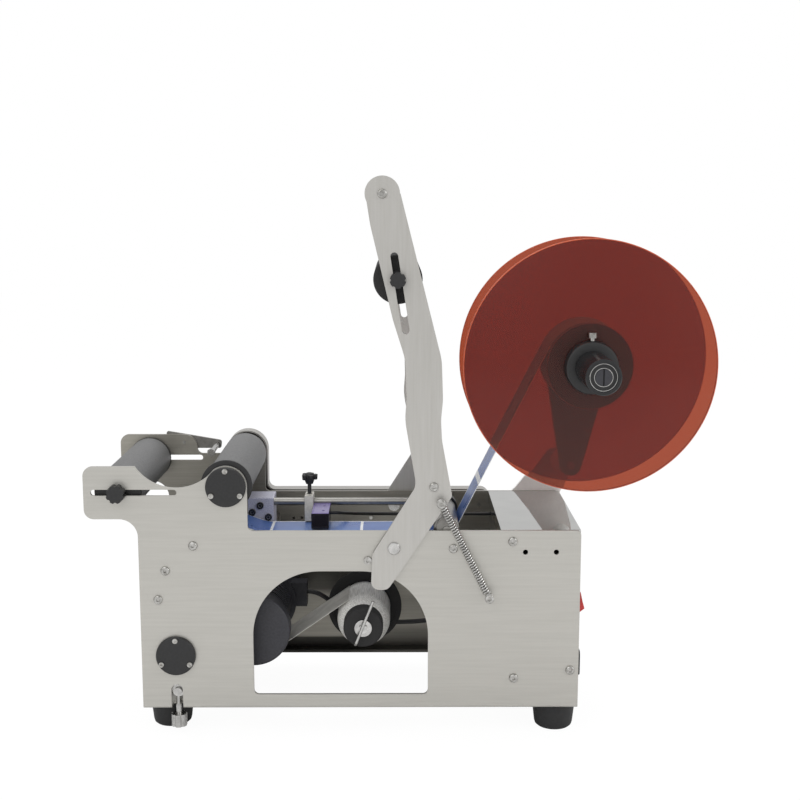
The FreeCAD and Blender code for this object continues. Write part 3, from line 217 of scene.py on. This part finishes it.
def surface(name, light, dark, grain, rough, relief=0.0, metallic=0.0, stretch=(1, 1, 1), coat=0.0):
    """A finish whose colour, gloss and relief in millimetres all vary with one noise."""
    finish = bpy.data.materials.new(name)
    finish.use_nodes = True
    nodes = finish.node_tree.nodes
    links = finish.node_tree.links
    shader = nodes["Principled BSDF"]
    place = nodes.new("ShaderNodeTexCoord")
    mapping = nodes.new("ShaderNodeMapping")
    mapping.inputs["Scale"].default_value = stretch
    links.new(place.outputs["Object"], mapping.inputs["Vector"])
    noise = nodes.new("ShaderNodeTexNoise")
    noise.inputs["Scale"].default_value = grain
    noise.inputs["Detail"].default_value = 4.0
    links.new(mapping.outputs["Vector"], noise.inputs["Vector"])
    ramp = nodes.new("ShaderNodeValToRGB")
    ramp.color_ramp.elements[0].position = 0.3
    ramp.color_ramp.elements[0].color = dark
    ramp.color_ramp.elements[1].position = 0.7
    ramp.color_ramp.elements[1].color = light
    links.new(noise.outputs["Fac"], ramp.inputs["Fac"])
    links.new(ramp.outputs["Color"], shader.inputs["Base Color"])
    gloss = nodes.new("ShaderNodeMapRange")
    gloss.inputs["To Min"].default_value = rough[0]
    gloss.inputs["To Max"].default_value = rough[1]
    links.new(noise.outputs["Fac"], gloss.inputs["Value"])
    links.new(gloss.outputs["Result"], shader.inputs["Roughness"])
    shader.inputs["Metallic"].default_value = metallic
    shader.inputs["Coat Weight"].default_value = coat
    if relief:
        bump = nodes.new("ShaderNodeBump")
        bump.inputs["Strength"].default_value = 0.6
        bump.inputs["Distance"].default_value = relief / 1000
        links.new(noise.outputs["Fac"], bump.inputs["Height"])
        links.new(bump.outputs["Normal"], shader.inputs["Normal"])
    return finish


plate_steel = surface("brushed_plate_steel", shade(188, 186, 180), shade(182, 180, 174), 420, (0.34, 0.42),
                      0.01, 0.7, ALONG_X)
arm_steel = surface("brushed_arm_steel", shade(189, 187, 183), shade(182, 180, 175), 420, (0.34, 0.42),
                    0.01, 0.7, ALONG_Z)
# Darker copy of the plate steel for the far plate: painted shade on its inner side
painted_shade_far_steel = surface("far_plate_steel_painted_shade", shade(178, 176, 170), shade(166, 164, 158), 420, (0.34, 0.42),
                      0.01, 0.7, ALONG_X)
cover_steel = surface("cover_steel", shade(186, 184, 180), shade(174, 172, 168), 380, (0.38, 0.48),
                      0.01, 0.7, ALONG_X)
dull_steel = surface("dull_sheet_steel", shade(140, 138, 134), shade(122, 120, 116), 300, (0.4, 0.5),
                     0.01, 0.8)
# Lighter, less metallic copy of the plate steel: painted light on the reel post
post_steel = surface("post_steel", shade(236, 235, 232), shade(230, 229, 226), 300, (0.4, 0.46), 0.0, 0.2)
deck_mirror = surface("polished_deck", shade(196, 196, 194), shade(188, 188, 186), 30, (0.02, 0.06), 0.0, 1.0)
bright_steel = surface("bright_steel", shade(206, 205, 203), shade(172, 171, 169), 160, (0.2, 0.32),
                       0.01, 1.0)
rod_steel = surface("drawn_rods", shade(150, 148, 144), shade(140, 138, 134), 400, (0.3, 0.38), 0.0, 1.0)
screw_steel = surface("zinc_screws", shade(200, 199, 196), shade(140, 138, 133), 300, (0.22, 0.4), 0.02, 1.0)
turned_metal = surface("turned_metal", shade(200, 200, 200), shade(168, 168, 169), 220, (0.24, 0.36),
                       0.01, 1.0, TURNED)
clamp_grey = surface("clamp_grey", shade(218, 215, 207), shade(198, 195, 187), 320, (0.4, 0.5), 0.03, 0.2)
motor_paint = surface("motor_paint", shade(50, 50, 56), shade(38, 38, 43), 500, (0.42, 0.55), 0.03)
block_paint = surface("speckled_block", shade(204, 204, 218), shade(166, 166, 184), 900, (0.4, 0.55), 0.05)
roller_grey = surface("grey_roller_rubber", shade(112, 112, 112), shade(92, 92, 93), 500, (0.5, 0.62), 0.04)
press_black = surface("black_foam", shade(36, 35, 35), shade(20, 20, 21), 900, (0.7, 0.85), 0.12)
rubber_black = surface("black_foot_rubber", shade(34, 34, 35), shade(22, 22, 23), 350, (0.55, 0.7), 0.05)
belt_black = surface("belt_rubber", shade(34, 34, 34), shade(22, 22, 22), 500, (0.6, 0.7), 0.04)
cable_black = surface("cable_skin", shade(26, 26, 27), shade(16, 16, 17), 600, (0.4, 0.5), 0.02)
cap_black = surface("black_caps", shade(33, 33, 34), shade(23, 23, 24), 420, (0.42, 0.55), 0.03)
gloss_black = surface("gloss_black", shade(28, 28, 30), shade(18, 18, 20), 200, (0.2, 0.3), 0.01)
sensor_case = surface("sensor_case", shade(34, 32, 42), shade(22, 21, 28), 60, (0.16, 0.24), 0.01)
rocker_red = surface("rocker_red", shade(205, 36, 30), shade(178, 26, 22), 60, (0.2, 0.28), coat=0.3)
disc_rim = surface("disc_rim", shade(196, 88, 50), shade(168, 70, 40), 200, (0.3, 0.45), 0.02)
roll_side = surface("label_roll_side", shade(150, 160, 186), shade(84, 104, 150), 900, (0.4, 0.5), 0.04)
backing_paper = surface("backing_paper", shade(212, 210, 204), shade(190, 188, 182), 90, (0.3, 0.42), 0.01)
wound_paper = surface("wound_paper", shade(236, 235, 231), shade(176, 174, 170), 1400, (0.5, 0.6),
                      0.05, 0.0, WOUND)


def tint_above(finish, z, colour):
    """Gives a finish another colour above a height."""
    tree = finish.node_tree
    base = tree.nodes["Principled BSDF"].inputs["Base Color"]
    above = reckon(tree, "GREATER_THAN", split_place(tree)["Z"], z / 1000)
    tree.links.new(mix_colours(tree, above, base.links[0].from_socket, colour), base)


def painted_shade_by_height(tree, height, shares):
    """Painted shade: greys by height, warmer where they are darker, as a colour socket."""
    ramp = tree.nodes.new("ShaderNodeValToRGB")
    steps = ramp.color_ramp.elements
    while len(steps) < len(shares):
        steps.new(0.5)
    for step, (z, share) in zip(steps, shares):
        step.position = z / SHADE_TOP_Z
        step.color = (share, share * 0.98, share * 0.93, 1.0)
    tree.links.new(height, ramp.inputs["Fac"])
    return ramp.outputs["Color"]


def paint_inside_shade(finish, face_y):
    """Paints shade into the colour of a plate's unlit side where it faces the machine's inside."""
    tree = finish.node_tree
    base = tree.nodes["Principled BSDF"].inputs["Base Color"]
    place = split_place(tree)
    height = spread(tree, place["Z"], 0.0, SHADE_TOP_Z / 1000)
    across = spread(tree, place["X"], at(SHADE_LEFT_X, 0, 0).x, at(SHADE_RIGHT_X, 0, 0).x)
    sides = mix_colours(tree, across, painted_shade_by_height(tree, height, SHADE_LEFT),
                        painted_shade_by_height(tree, height, SHADE_RIGHT))
    inside = reckon(tree, "LESS_THAN", place["Y"], at(0, face_y, 0).y)
    tree.links.new(mix_colours(tree, inside, base.links[0].from_socket, sides, "MULTIPLY"), base)


def label_band():
    """Blue printed labels on pale backing, with white gaps and edges."""
    finish = surface("label_band", shade(98, 128, 186), shade(58, 84, 150), 18, (0.22, 0.34))
    tree = finish.node_tree
    base = tree.nodes["Principled BSDF"].inputs["Base Color"]
    place = split_place(tree)
    inner = reckon(tree, "COMPARE", place["Y"], at(0, LABEL_MIDDLE_Y, 0).y, LABEL_WIDTH / 2000)
    bare = reckon(tree, "SUBTRACT", 1.0, inner)
    for x in LABEL_GAPS:
        gap = reckon(tree, "COMPARE", place["X"], at(x, 0, 0).x, LABEL_GAP / 2000)
        bare = reckon(tree, "MAXIMUM", bare, gap)
    tree.links.new(mix_colours(tree, bare, base.links[0].from_socket, shade(228, 230, 232)), base)
    return finish


def tinted_sheet():
    """Clear orange-red sheet of the roll discs."""
    finish = bpy.data.materials.new("tinted_disc_sheet")
    finish.use_nodes = True
    shader = finish.node_tree.nodes["Principled BSDF"]
    shader.inputs["Base Color"].default_value = shade(162, 70, 42)
    shader.inputs["Transmission Weight"].default_value = 0.95
    shader.inputs["Roughness"].default_value = 0.04
    shader.inputs["IOR"].default_value = 1.2
    shader.inputs["Coat Weight"].default_value = 0.5
    shader.inputs["Coat Roughness"].default_value = 0.4
    return finish


tint_above(sensor_case, SENSOR_TOP_Z, shade(112, 100, 154))
# Painted shade on the far plate's inner side, by height and across X
paint_inside_shade(painted_shade_far_steel, FAR_PLATE_Y + 1.0)
labels_blue = label_band()
disc_sheet = tinted_sheet()

# What each solid of the model is finished in
NODE_FINISH = {
    plate_steel: ["near_side_plate", "end_panel"],
    arm_steel: ["near_arm_plate", "far_arm_plate"],
    # The far plate takes the steel with painted shade
    painted_shade_far_steel: ["far_side_plate"],
    cover_steel: ["drive_cover"],
    dull_steel: ["guide_roller_brackets", "compartment_panels", "bottle_stop_bracket", "label_table"],
    # The reel post takes the steel with painted light
    post_steel: ["reel_post"],
    deck_mirror: ["top_deck"],
    bright_steel: ["frame_pins", "take_up_shaft", "stop_bolt", "swing_bolts", "pinch_levers",
                   "return_spring", "spring_hook", "paper_clip", "reel_spindle"],
    rod_steel: ["frame_bars", "guide_roller"],
    screw_steel: ["frame_screws", "arm_screws"],
    turned_metal: ["idler_roller", "arm_bars", "motor_pulley"],
    clamp_grey: ["sensor_clamp"],
    motor_paint: ["drive_motor"],
    block_paint: ["table_block"],
    roller_grey: ["right_roller", "left_roller", "traction_roller", "pinch_roller"],
    press_black: ["press_roller", "take_up_drum"],
    rubber_black: ["rubber_feet"],
    belt_black: ["drive_belts"],
    cable_black: ["motor_cable", "sensor_cable"],
    cap_black: ["press_axle", "roller_bearings", "sensor_knob", "left_knobs", "left_roller_ends",
                "power_fittings", "reel_hub", "disc_collar", "guide_collar", "right_roller_flange"],
    gloss_black: ["reel_link"],
    sensor_case: ["label_sensor"],
    rocker_red: ["rocker"],
    roll_side: ["label_roll"],
    backing_paper: ["backing_web"],
    wound_paper: ["take_up_paper"],
    labels_blue: ["label_web"],
    disc_sheet: ["near_disc", "far_disc"],
}
# Width of the softened edges of those solids that have them
BEVELLED = {
    "near_side_plate": 0.4, "far_side_plate": 0.4, "end_panel": 0.4, "top_deck": 0.3, "drive_cover": 0.6,
    "guide_roller_brackets": 0.4, "reel_post": 0.5, "bottle_stop_bracket": 0.4, "reel_link": 0.8,
    "sensor_knob": 0.5, "power_fittings": 0.4, "rocker": 0.5, "left_knobs": 0.4, "swing_bolts": 0.3,
    "pinch_levers": 0.3,
}


def dress_nodes():
    """Gives each solid its finish, soft edges where it has them, and even shading."""
    for finish, names in NODE_FINISH.items():
        for name in names:
            node = NODES[name]
            node.data.materials.clear()
            node.data.materials.append(finish)
            for face in node.data.polygons:
                face.material_index = 0
                face.use_smooth = True
            weld = node.modifiers.new("weld", "WELD")
            weld.merge_threshold = 0.000002
            if name in BEVELLED:
                flat = node.modifiers.new("flat", "DECIMATE")
                flat.decimate_type = "DISSOLVE"
                flat.angle_limit = math.radians(0.5)
                bevel = node.modifiers.new("bevel", "BEVEL")
                bevel.width = BEVELLED[name] / 1000
                bevel.segments = 2
                bevel.limit_method = "ANGLE"
                bevel.angle_limit = math.radians(40)
            crease = node.modifiers.new("crease", "EDGE_SPLIT")
            crease.split_angle = math.radians(32)
            even = node.modifiers.new("even", "WEIGHTED_NORMAL")
            even.weight = 90
            even.keep_sharp = True


# Making pieces
def add_piece(bm, name, finish, body, stands_for=()):
    """Closes, smooths and places a mesh as a piece that rides on a body, or on none yet."""
    bmesh.ops.remove_doubles(bm, verts=bm.verts, dist=0.000001)
    bmesh.ops.recalc_face_normals(bm, faces=bm.faces)
    for face in bm.faces:
        face.smooth = True
    for edge in bm.edges:
        if len(edge.link_faces) == 2 and edge.calc_face_angle() > math.radians(33):
            edge.smooth = False
    mesh = bpy.data.meshes.new(name)
    bm.to_mesh(mesh)
    bm.free()
    mesh.materials.append(finish)
    piece = bpy.data.objects.new(name, mesh)
    bpy.context.scene.collection.objects.link(piece)
    if body:
        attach(piece, body)
    if stands_for:
        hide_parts(*stands_for)
    return piece


def spin_profile(bm, centre, profile, steps=96):
    """Turns a closed outline of (radius, y) points round an axis along Y."""
    verts = [bm.verts.new(at(centre[0] + radius, y, centre[1])) for radius, y in profile]
    edges = [bm.edges.new((verts[i], verts[(i + 1) % len(verts)])) for i in range(len(verts))]
    bmesh.ops.spin(bm, geom=verts + edges, cent=at(centre[0], 0, centre[1]), axis=(0, 1, 0),
                   angle=2 * math.pi, steps=steps, use_merge=True)


def spin_upright(bm, x, y, profile):
    """Turns an outline of (radius, z) points round an upright axis."""
    verts = [bm.verts.new(at(x + radius, y, z)) for radius, z in profile]
    edges = [bm.edges.new((verts[i], verts[i + 1])) for i in range(len(verts) - 1)]
    bmesh.ops.spin(bm, geom=verts + edges, cent=at(x, y, 0), axis=(0, 0, 1), angle=2 * math.pi, steps=64,
                   use_merge=True)


def add_rod(bm, low_radius, high_radius, length, sides):
    """Adds a closed rod along Z with its middle at the origin."""
    return bmesh.ops.create_cone(bm, segments=sides, radius1=low_radius / 1000, radius2=high_radius / 1000,
                                 depth=length / 1000, cap_ends=True)["verts"]


def lay_along_y(bm, place):
    """Turns all that stands on the origin along Y, and moves it to its place."""
    bmesh.ops.rotate(bm, verts=bm.verts, matrix=Matrix.Rotation(math.radians(90), 3, "X"))
    bmesh.ops.translate(bm, verts=bm.verts, vec=place)


def rounded(bore, radius, y0, y1, soft, points=4):
    """Outline of a ring with both outer corners rounded."""
    outline = [(bore, y0)]
    for i in range(points + 1):
        turn = math.pi / 2 * i / points
        outline.append((radius - soft + soft * math.sin(turn), y0 + soft - soft * math.cos(turn)))
    for i in range(points + 1):
        turn = math.pi / 2 * i / points
        outline.append((radius - soft + soft * math.cos(turn), y1 - soft + soft * math.sin(turn)))
    outline.append((bore, y1))
    return outline


def turned(name, centre, outlines, finish, body, stands_for=(), steps=96):
    """A piece turned from one or more closed outlines round an axis along Y."""
    bm = bmesh.new()
    for outline in outlines:
        spin_profile(bm, centre, outline, steps)
    return add_piece(bm, name, finish, body, stands_for)


def make_discs():
    """The two tinted discs, each a clear sheet with a brighter sawn rim."""
    for name, body, y in (("near_disc", "reel_front", NEAR_DISC_Y), ("far_disc", "reel", FAR_DISC_Y)):
        sheet = rounded(SLEEVE_R + FIT, DISC_R - DISC_RIM, y, y + DISC_T, 0.2, 2)
        rim = rounded(DISC_R - DISC_RIM + 0.02, DISC_R, y, y + DISC_T, 0.4, 3)
        turned(name + "_sheet", REEL, [sheet], disc_sheet, body, [name], 192)
        turned(name + "_rim", REEL, [rim], disc_rim, body, (), 192)


def make_collar():
    """Sliding collar in front of the near disc, its screw, and the flange behind the disc."""
    bore = SLEEVE_R + FIT
    face = NEAR_DISC_Y - GAP
    collar = [(bore, COLLAR_Y), (COLLAR_R - 2.4, COLLAR_Y), (COLLAR_R - 0.8, COLLAR_Y + 0.6),
              (COLLAR_R, COLLAR_Y + 2.2), (COLLAR_R, face), (bore, face)]
    turned("roll_collar", REEL, [collar], cap_black, "reel_front", ["disc_collar"])
    back = NEAR_DISC_Y + DISC_T + GAP
    turned("roll_flange", REEL, [rounded(bore, FLANGE_R, back, back + 1.8, 0.4)], cap_black, "reel_front")
    edge = [(FLANGE_R + 0.1, back), (FLANGE_R + 0.5, back), (FLANGE_R + 0.5, back + 0.7),
            (FLANGE_R + 0.1, back + 0.7)]
    turned("flange_edge", REEL, [edge], disc_rim, "reel_front")
    bm = bmesh.new()
    for radius, low, high in ((2.2, 26.2, 29.0), (4.2, 29.2, 34.2)):
        rod = add_rod(bm, radius, radius, high - low, 32)
        bmesh.ops.translate(bm, verts=rod, vec=at(REEL[0], COLLAR_SCREW_Y, REEL[1] + (low + high) / 2))
    add_piece(bm, "collar_screw", screw_steel, "reel_front")


def make_hub():
    """Core that carries the label roll, on its long sleeve."""
    turned("roll_core", REEL, [rounded(SLEEVE_R + 0.02, CORE_R, CORE_Y, FAR_DISC_Y - GAP, 0.8)], cap_black,
           "reel", ["reel_hub"])
    bore = SPINDLE_R + GAP
    sleeve = [(bore, SLEEVE_Y0 + 5.5), (13.3, SLEEVE_Y0 + 5.5), (13.3, SLEEVE_Y0 + 0.4), (13.7, SLEEVE_Y0),
              (SLEEVE_R - 0.8, SLEEVE_Y0), (SLEEVE_R, SLEEVE_Y0 + 0.8), (SLEEVE_R, SLEEVE_Y1),
              (bore, SLEEVE_Y1)]
    turned("roll_sleeve", REEL, [sleeve], gloss_black, "reel")


def make_spindle():
    """Fixed spindle with its end washer and the two bright rings on it."""
    bar = [(0.0, SPINDLE_Y0), (SPINDLE_R, SPINDLE_Y0), (SPINDLE_R, SPINDLE_Y1 - 1.0),
           (SPINDLE_R - 1.0, SPINDLE_Y1), (0.0, SPINDLE_Y1)]
    turned("spindle_bar", REEL, [bar], bright_steel, "root", ["reel_spindle"])
    turned("end_washer", REEL, [rounded(0.0, 12.3, -49.4, -47.3, 0.3)], cap_black, "root")
    turned("washer_rim", REEL, [rounded(12.4, 13.2, -50.6, -47.3, 0.3)], bright_steel, "root")
    turned("screw_rim", REEL, [rounded(8.3, 8.9, -50.6, -49.5, 0.2)], bright_steel, "root")


def make_slotted_screw():
    """Head of the spindle's end screw, as two halves either side of its slot."""
    bm = bmesh.new()
    for side in (1, -1):
        half = add_rod(bm, 8.1, 7.8, 1.8, 48)
        faces = list({face for vert in half for face in vert.link_faces})
        edges = list({edge for vert in half for edge in vert.link_edges})
        cut = bmesh.ops.bisect_plane(bm, geom=half + edges + faces, plane_co=(side * SLOT / 2000, 0, 0),
                                     plane_no=(side, 0, 0), clear_inner=True)
        rim = [item for item in cut["geom_cut"] if isinstance(item, bmesh.types.BMEdge)]
        bmesh.ops.holes_fill(bm, edges=rim)
    lay_along_y(bm, at(REEL[0], SPINDLE_SCREW_Y, REEL[1]))
    add_piece(bm, "slotted_screw", motor_paint, "root")


def make_spindle_nut():
    """Hexagon nut at the back of the spindle."""
    bm = bmesh.new()
    add_rod(bm, 12.7, 12.7, 8.0, 6)
    bmesh.ops.bevel(bm, geom=list(bm.edges), offset=0.0006, segments=2, profile=0.5, affect="EDGES",
                    material=-1)
    lay_along_y(bm, at(REEL[0], SPINDLE_NUT_Y, REEL[1]))
    add_piece(bm, "spindle_nut", screw_steel, "root")


def make_anchor_heads():
    """Socket heads that hold the two ends of the return spring."""
    head = [(0.0, ANCHOR_Y - 0.55), (1.9, ANCHOR_Y - 0.55), (1.9, ANCHOR_Y - 1.85), (3.9, ANCHOR_Y - 1.85),
            (4.4, ANCHOR_Y - 1.35), (4.4, ANCHOR_Y), (0.0, ANCHOR_Y)]
    for place, body in ((SPRING_LOW, "root"), (SPRING_TOP, "arm")):
        turned("anchor_head_" + body, place, [head], screw_steel, body, (), 48)


def make_block_screws():
    """Black cap heads on the face of the table's end block."""
    bm = bmesh.new()
    head = [(0.0, BLOCK_FACE), (0.0, BLOCK_FACE - 1.4), (1.8, BLOCK_FACE - 1.6), (1.8, BLOCK_FACE - 2.7),
            (BLOCK_SCREW_R - 0.4, BLOCK_FACE - 2.7), (BLOCK_SCREW_R, BLOCK_FACE - 2.3),
            (BLOCK_SCREW_R, BLOCK_FACE)]
    for place in BLOCK_SCREWS:
        spin_profile(bm, place, head, 40)
    add_piece(bm, "block_screw_heads", gloss_black, "root")


def make_bottle_rollers():
    """The turning roller with its shaft and flange, and the carried roller."""
    turned("turning_roller_skin", RIGHT_ROLLER, [rounded(ROLLER_SHAFT_R, ROLLER_R, 8.3, 167.0, 1.2)],
           roller_grey, "right_roll", ["right_roller"])
    bar = ROLLER_SHAFT_R - FIT
    shaft = [(0.0, -2.9), (bar, -2.9), (bar, 190.0), (PULLEY_R - 0.4, 190.0), (PULLEY_R, 190.4),
             (PULLEY_R, 194.6), (PULLEY_R - 0.4, 195.0), (0.0, 195.0)]
    turned("turning_shaft", RIGHT_ROLLER, [shaft], turned_metal, "right_roll")
    turned("turning_roller_flange", RIGHT_ROLLER, [rounded(ROLLER_SHAFT_R, 25.2, 5.3, 8.3, 0.6)], cap_black,
           "right_roll", ["right_roller_flange"])
    turned("carried_roller_skin", LEFT_ROLLER, [rounded(2.95, ROLLER_R, 8.0, 167.5, 0.6)], roller_grey,
           "left_roll", ["left_roller"])


def make_press_foam():
    """Foam sleeve of the press roller."""
    turned("press_foam", PRESS_ROLLER, [rounded(3.65, PRESS_R, 5.0, 170.5, 2.5, 6)], press_black,
           "press_roll", ["press_roller"])


def make_guide_tube():
    """Guide roller, a tube on its shaft."""
    tube = rounded(GUIDE_SHAFT_R + 0.02, GUIDE_R, 8.0, 91.0, 0.6)
    shaft = [(0.0, 3.3), (GUIDE_SHAFT_R - 0.4, 3.3), (GUIDE_SHAFT_R, 3.7), (GUIDE_SHAFT_R, 171.8),
             (GUIDE_SHAFT_R - 0.4, 172.2), (0.0, 172.2)]
    turned("guide_tube", GUIDE_ROLLER, [tube, shaft], rod_steel, "guide", ["guide_roller"])


def make_take_up_paper():
    """Spent backing wound on the drum, heaped up behind its free end."""
    heap = [(DRUM_R + FIT, 35.0), (20.6, 35.2), (24.6, 40.2), (26.4, 43.8), (WOUND_R, 48.0), (WOUND_R, 89.5),
            (DRUM_R + FIT, 89.5)]
    turned("wound_backing", TAKE_UP, [heap], wound_paper, "take_up", ["take_up_paper"])


def make_star_knob():
    """Winged thumb knob on the sensor clamp."""
    bm = bmesh.new()
    x, y = SENSOR_KNOB
    post = [(0.0, 222.0), (2.0, 222.0), (2.0, 235.6), (3.6, 236.0), (5.0, 239.6), (5.4, 243.0), (5.4, 245.4),
            (4.4, 247.0), (2.4, 247.8), (0.0, 248.0)]
    spin_upright(bm, x, y, post)
    for i in range(5):
        turn = math.radians(72 * i)
        wing = add_rod(bm, 2.4, 2.8, 5.6, 24)
        edges = [edge for edge in {edge for vert in wing for edge in vert.link_edges}
                 if len(edge.link_faces) == 2 and edge.calc_face_angle() > 1.0]
        made = bmesh.ops.bevel(bm, geom=edges, offset=0.0005, segments=2, profile=0.5, affect="EDGES",
                               material=-1)
        wing = list({vert for vert in wing if vert.is_valid} | set(made["verts"]))
        bmesh.ops.translate(bm, verts=wing,
                            vec=at(x + WING_R * math.cos(turn), y + WING_R * math.sin(turn), WING_Z))
    add_piece(bm, "star_knob", cap_black, "sensor_lock", ["sensor_knob"])


def make_feet():
    """Four rubber feet with a waisted wall and a hollow under the screw."""
    bm = bmesh.new()
    foot = [(0.0, 28.5), (20.2, 28.5), (21.5, 27.2), (21.3, 22.0), (19.4, 5.0), (18.6, 2.2), (16.8, 0.6),
            (14.5, 0.0), (8.0, 0.0), (7.0, 2.0), (0.0, 2.0)]
    for x, y in FEET:
        spin_upright(bm, x, y, foot)
    add_piece(bm, "feet_turned", rubber_black, "root", ["rubber_feet"])


def add_eye(bm, end, inward, wire):
    """Adds a ring at one end of the spring and the stem that joins it to the coil."""
    eye = bmesh.ops.create_circle(bm, segments=8, radius=wire)["verts"]
    loop = list({edge for vert in eye for edge in vert.link_edges})
    bmesh.ops.translate(bm, verts=eye, vec=(EYE_R / 1000, 0, end))
    bmesh.ops.spin(bm, geom=eye + loop, cent=(0, 0, end), axis=(0, 1, 0), angle=2 * math.pi, steps=28,
                   use_merge=True)
    stem = add_rod(bm, WIRE_R, WIRE_R, 4.0, 8)
    bmesh.ops.rotate(bm, verts=stem, matrix=Matrix.Rotation(math.radians(50), 3, "Y"))
    bmesh.ops.translate(bm, verts=stem, vec=(0.0021, 0, end + inward * (COIL_START - 0.8) / 1000))


def make_spring():
    """Coil with an eye at each end, along the line between its anchors."""
    wire = WIRE_R / 1000
    low = at(SPRING_LOW[0], SPRING_Y, SPRING_LOW[1])
    high = at(SPRING_TOP[0], SPRING_Y, SPRING_TOP[1])
    length = (high - low).length
    start = COIL_START / 1000
    steps = 16 * COIL_TURNS
    bm = bmesh.new()
    section = bmesh.ops.create_circle(bm, segments=7, radius=wire)["verts"]
    bmesh.ops.rotate(bm, verts=section, matrix=Matrix.Rotation(math.radians(90), 3, "X"))
    bmesh.ops.translate(bm, verts=section, vec=(COIL_R / 1000, 0, start))
    bmesh.ops.spin(bm, geom=section + list(bm.edges), cent=(0, 0, 0), axis=(0, 0, 1),
                   dvec=(0, 0, (length - 2 * start) / steps), angle=2 * math.pi * COIL_TURNS, steps=steps)
    bmesh.ops.holes_fill(bm, edges=[edge for edge in bm.edges if edge.is_boundary])
    add_eye(bm, 0.0, 1, wire)
    add_eye(bm, length, -1, wire)
    lean = (high - low).normalized()
    turn = Vector((0, 0, 1)).rotation_difference(lean).to_matrix()
    bmesh.ops.rotate(bm, verts=bm.verts, matrix=turn)
    bmesh.ops.translate(bm, verts=bm.verts, vec=low)
    piece = add_piece(bm, "return_coil", bright_steel, None, ["return_spring", "spring_hook"])
    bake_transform(piece)


def lead_mesh(route, thick):
    """Mesh of a smooth lead along its route, or its line alone where it has no thickness."""
    line = bpy.data.curves.new("lead_line", "CURVE")
    line.dimensions = "3D"
    line.resolution_u = 16
    line.bevel_depth = thick / 2000
    line.bevel_resolution = 4
    line.use_fill_caps = True
    spline = line.splines.new("NURBS")
    spline.points.add(len(route) - 1)
    for point, place in zip(spline.points, route):
        point.co = (*at(*place), 1.0)
    spline.order_u = 3
    spline.use_endpoint_u = True
    carrier = bpy.data.objects.new("lead_line", line)
    mesh = bpy.data.meshes.new_from_object(carrier)
    bpy.data.objects.remove(carrier)
    return mesh


def make_lead(name, route, thick, body, stands_for):
    """Cable of that thickness along its route."""
    bm = bmesh.new()
    bm.from_mesh(lead_mesh(route, thick))
    piece = add_piece(bm, name, cable_black, body, stands_for)
    line = [tuple(vert.co) for vert in lead_mesh(route, 0.0).vertices]
    return piece


def make_leads():
    """Motor cable on the frame, and the sensor's cable, which rides on no body."""
    make_lead("motor_lead", MOTOR_LEAD, MOTOR_LEAD_D, "root", ["motor_cable"])
    piece = make_lead("sensor_lead", SENSOR_LEAD, SENSOR_LEAD_D, None, ["sensor_cable"])
    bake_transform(piece)


dress_nodes()
make_discs()
make_collar()
make_hub()
make_spindle()
make_slotted_screw()
make_spindle_nut()
make_anchor_heads()
make_bottle_rollers()
make_press_foam()
make_guide_tube()
make_block_screws()
make_take_up_paper()
make_star_knob()
make_leads()
make_feet()
make_spring()


# Studio
def make_stage():
    """White floor that catches a faint shadow."""
    bm = bmesh.new()
    bmesh.ops.create_grid(bm, x_segments=1, y_segments=1, size=FLOOR_HALF)
    mesh = bpy.data.meshes.new("floor")
    bm.to_mesh(mesh)
    bm.free()
    floor = bpy.data.objects.new("floor", mesh)
    bpy.context.scene.collection.objects.link(floor)
    finish = bpy.data.materials.new("pale_floor")
    finish.use_nodes = True
    tree = finish.node_tree
    paint = tree.nodes.new("ShaderNodeBsdfDiffuse")
    paint.inputs["Color"].default_value = (0.9, 0.9, 0.9, 1)
    glow = tree.nodes.new("ShaderNodeEmission")
    glow.inputs["Color"].default_value = (1, 1, 1, 1)
    glow.inputs["Strength"].default_value = FLOOR_GLOW
    mix = tree.nodes.new("ShaderNodeMixShader")
    tree.links.new(reckon(tree, "MULTIPLY", seen_straight(tree), FLOOR_SEEN), mix.inputs["Fac"])
    tree.links.new(paint.outputs["BSDF"], mix.inputs[1])
    tree.links.new(glow.outputs["Emission"], mix.inputs[2])
    tree.links.new(mix.outputs["Shader"], tree.nodes["Material Output"].inputs["Surface"])
    floor.data.materials.append(finish)


def make_world():
    """Pale room, plain white where the camera sees it."""
    world = bpy.data.worlds.new("pale_room")
    bpy.context.scene.world = world
    world.use_nodes = True
    tree = world.node_tree
    back = tree.nodes["Background"]
    strength = tree.nodes.new("ShaderNodeMapRange")
    strength.inputs["To Min"].default_value = ROOM_LIGHT
    strength.inputs["To Max"].default_value = 1.0
    tree.links.new(seen_straight(tree), strength.inputs["Value"])
    tree.links.new(strength.outputs["Result"], back.inputs["Strength"])
    back.inputs["Color"].default_value = (1, 1, 1, 1)


def add_lamp(name, place, size, power):
    """Soft lamp that faces the middle of the machine."""
    light = bpy.data.lights.new(name, "AREA")
    light.shape = "RECTANGLE"
    light.size = size[0]
    light.size_y = size[1]
    light.energy = power
    lamp = bpy.data.objects.new(name, light)
    lamp.location = at(*place)
    lamp.rotation_euler = (at(*LAMP_TARGET) - at(*place)).to_track_quat("-Z", "Y").to_euler()
    bpy.context.scene.collection.objects.link(lamp)


def make_camera():
    """The photograph's camera."""
    lens = bpy.data.cameras.new("photo_camera")
    lens.lens = CAMERA_LENS
    lens.sensor_width = 36.0
    lens.sensor_fit = "HORIZONTAL"
    camera = bpy.data.objects.new("photo_camera", lens)
    camera.location = at(*CAMERA_PLACE)
    camera.rotation_euler = (math.radians(90.0 - CAMERA_DOWN), 0.0, math.radians(CAMERA_TURN))
    bpy.context.scene.collection.objects.link(camera)
    bpy.context.scene.camera = camera


make_stage()
make_world()
for lamp_row in LAMPS:
    add_lamp(*lamp_row)
make_camera()
bpy.context.scene.view_settings.view_transform = "Standard"
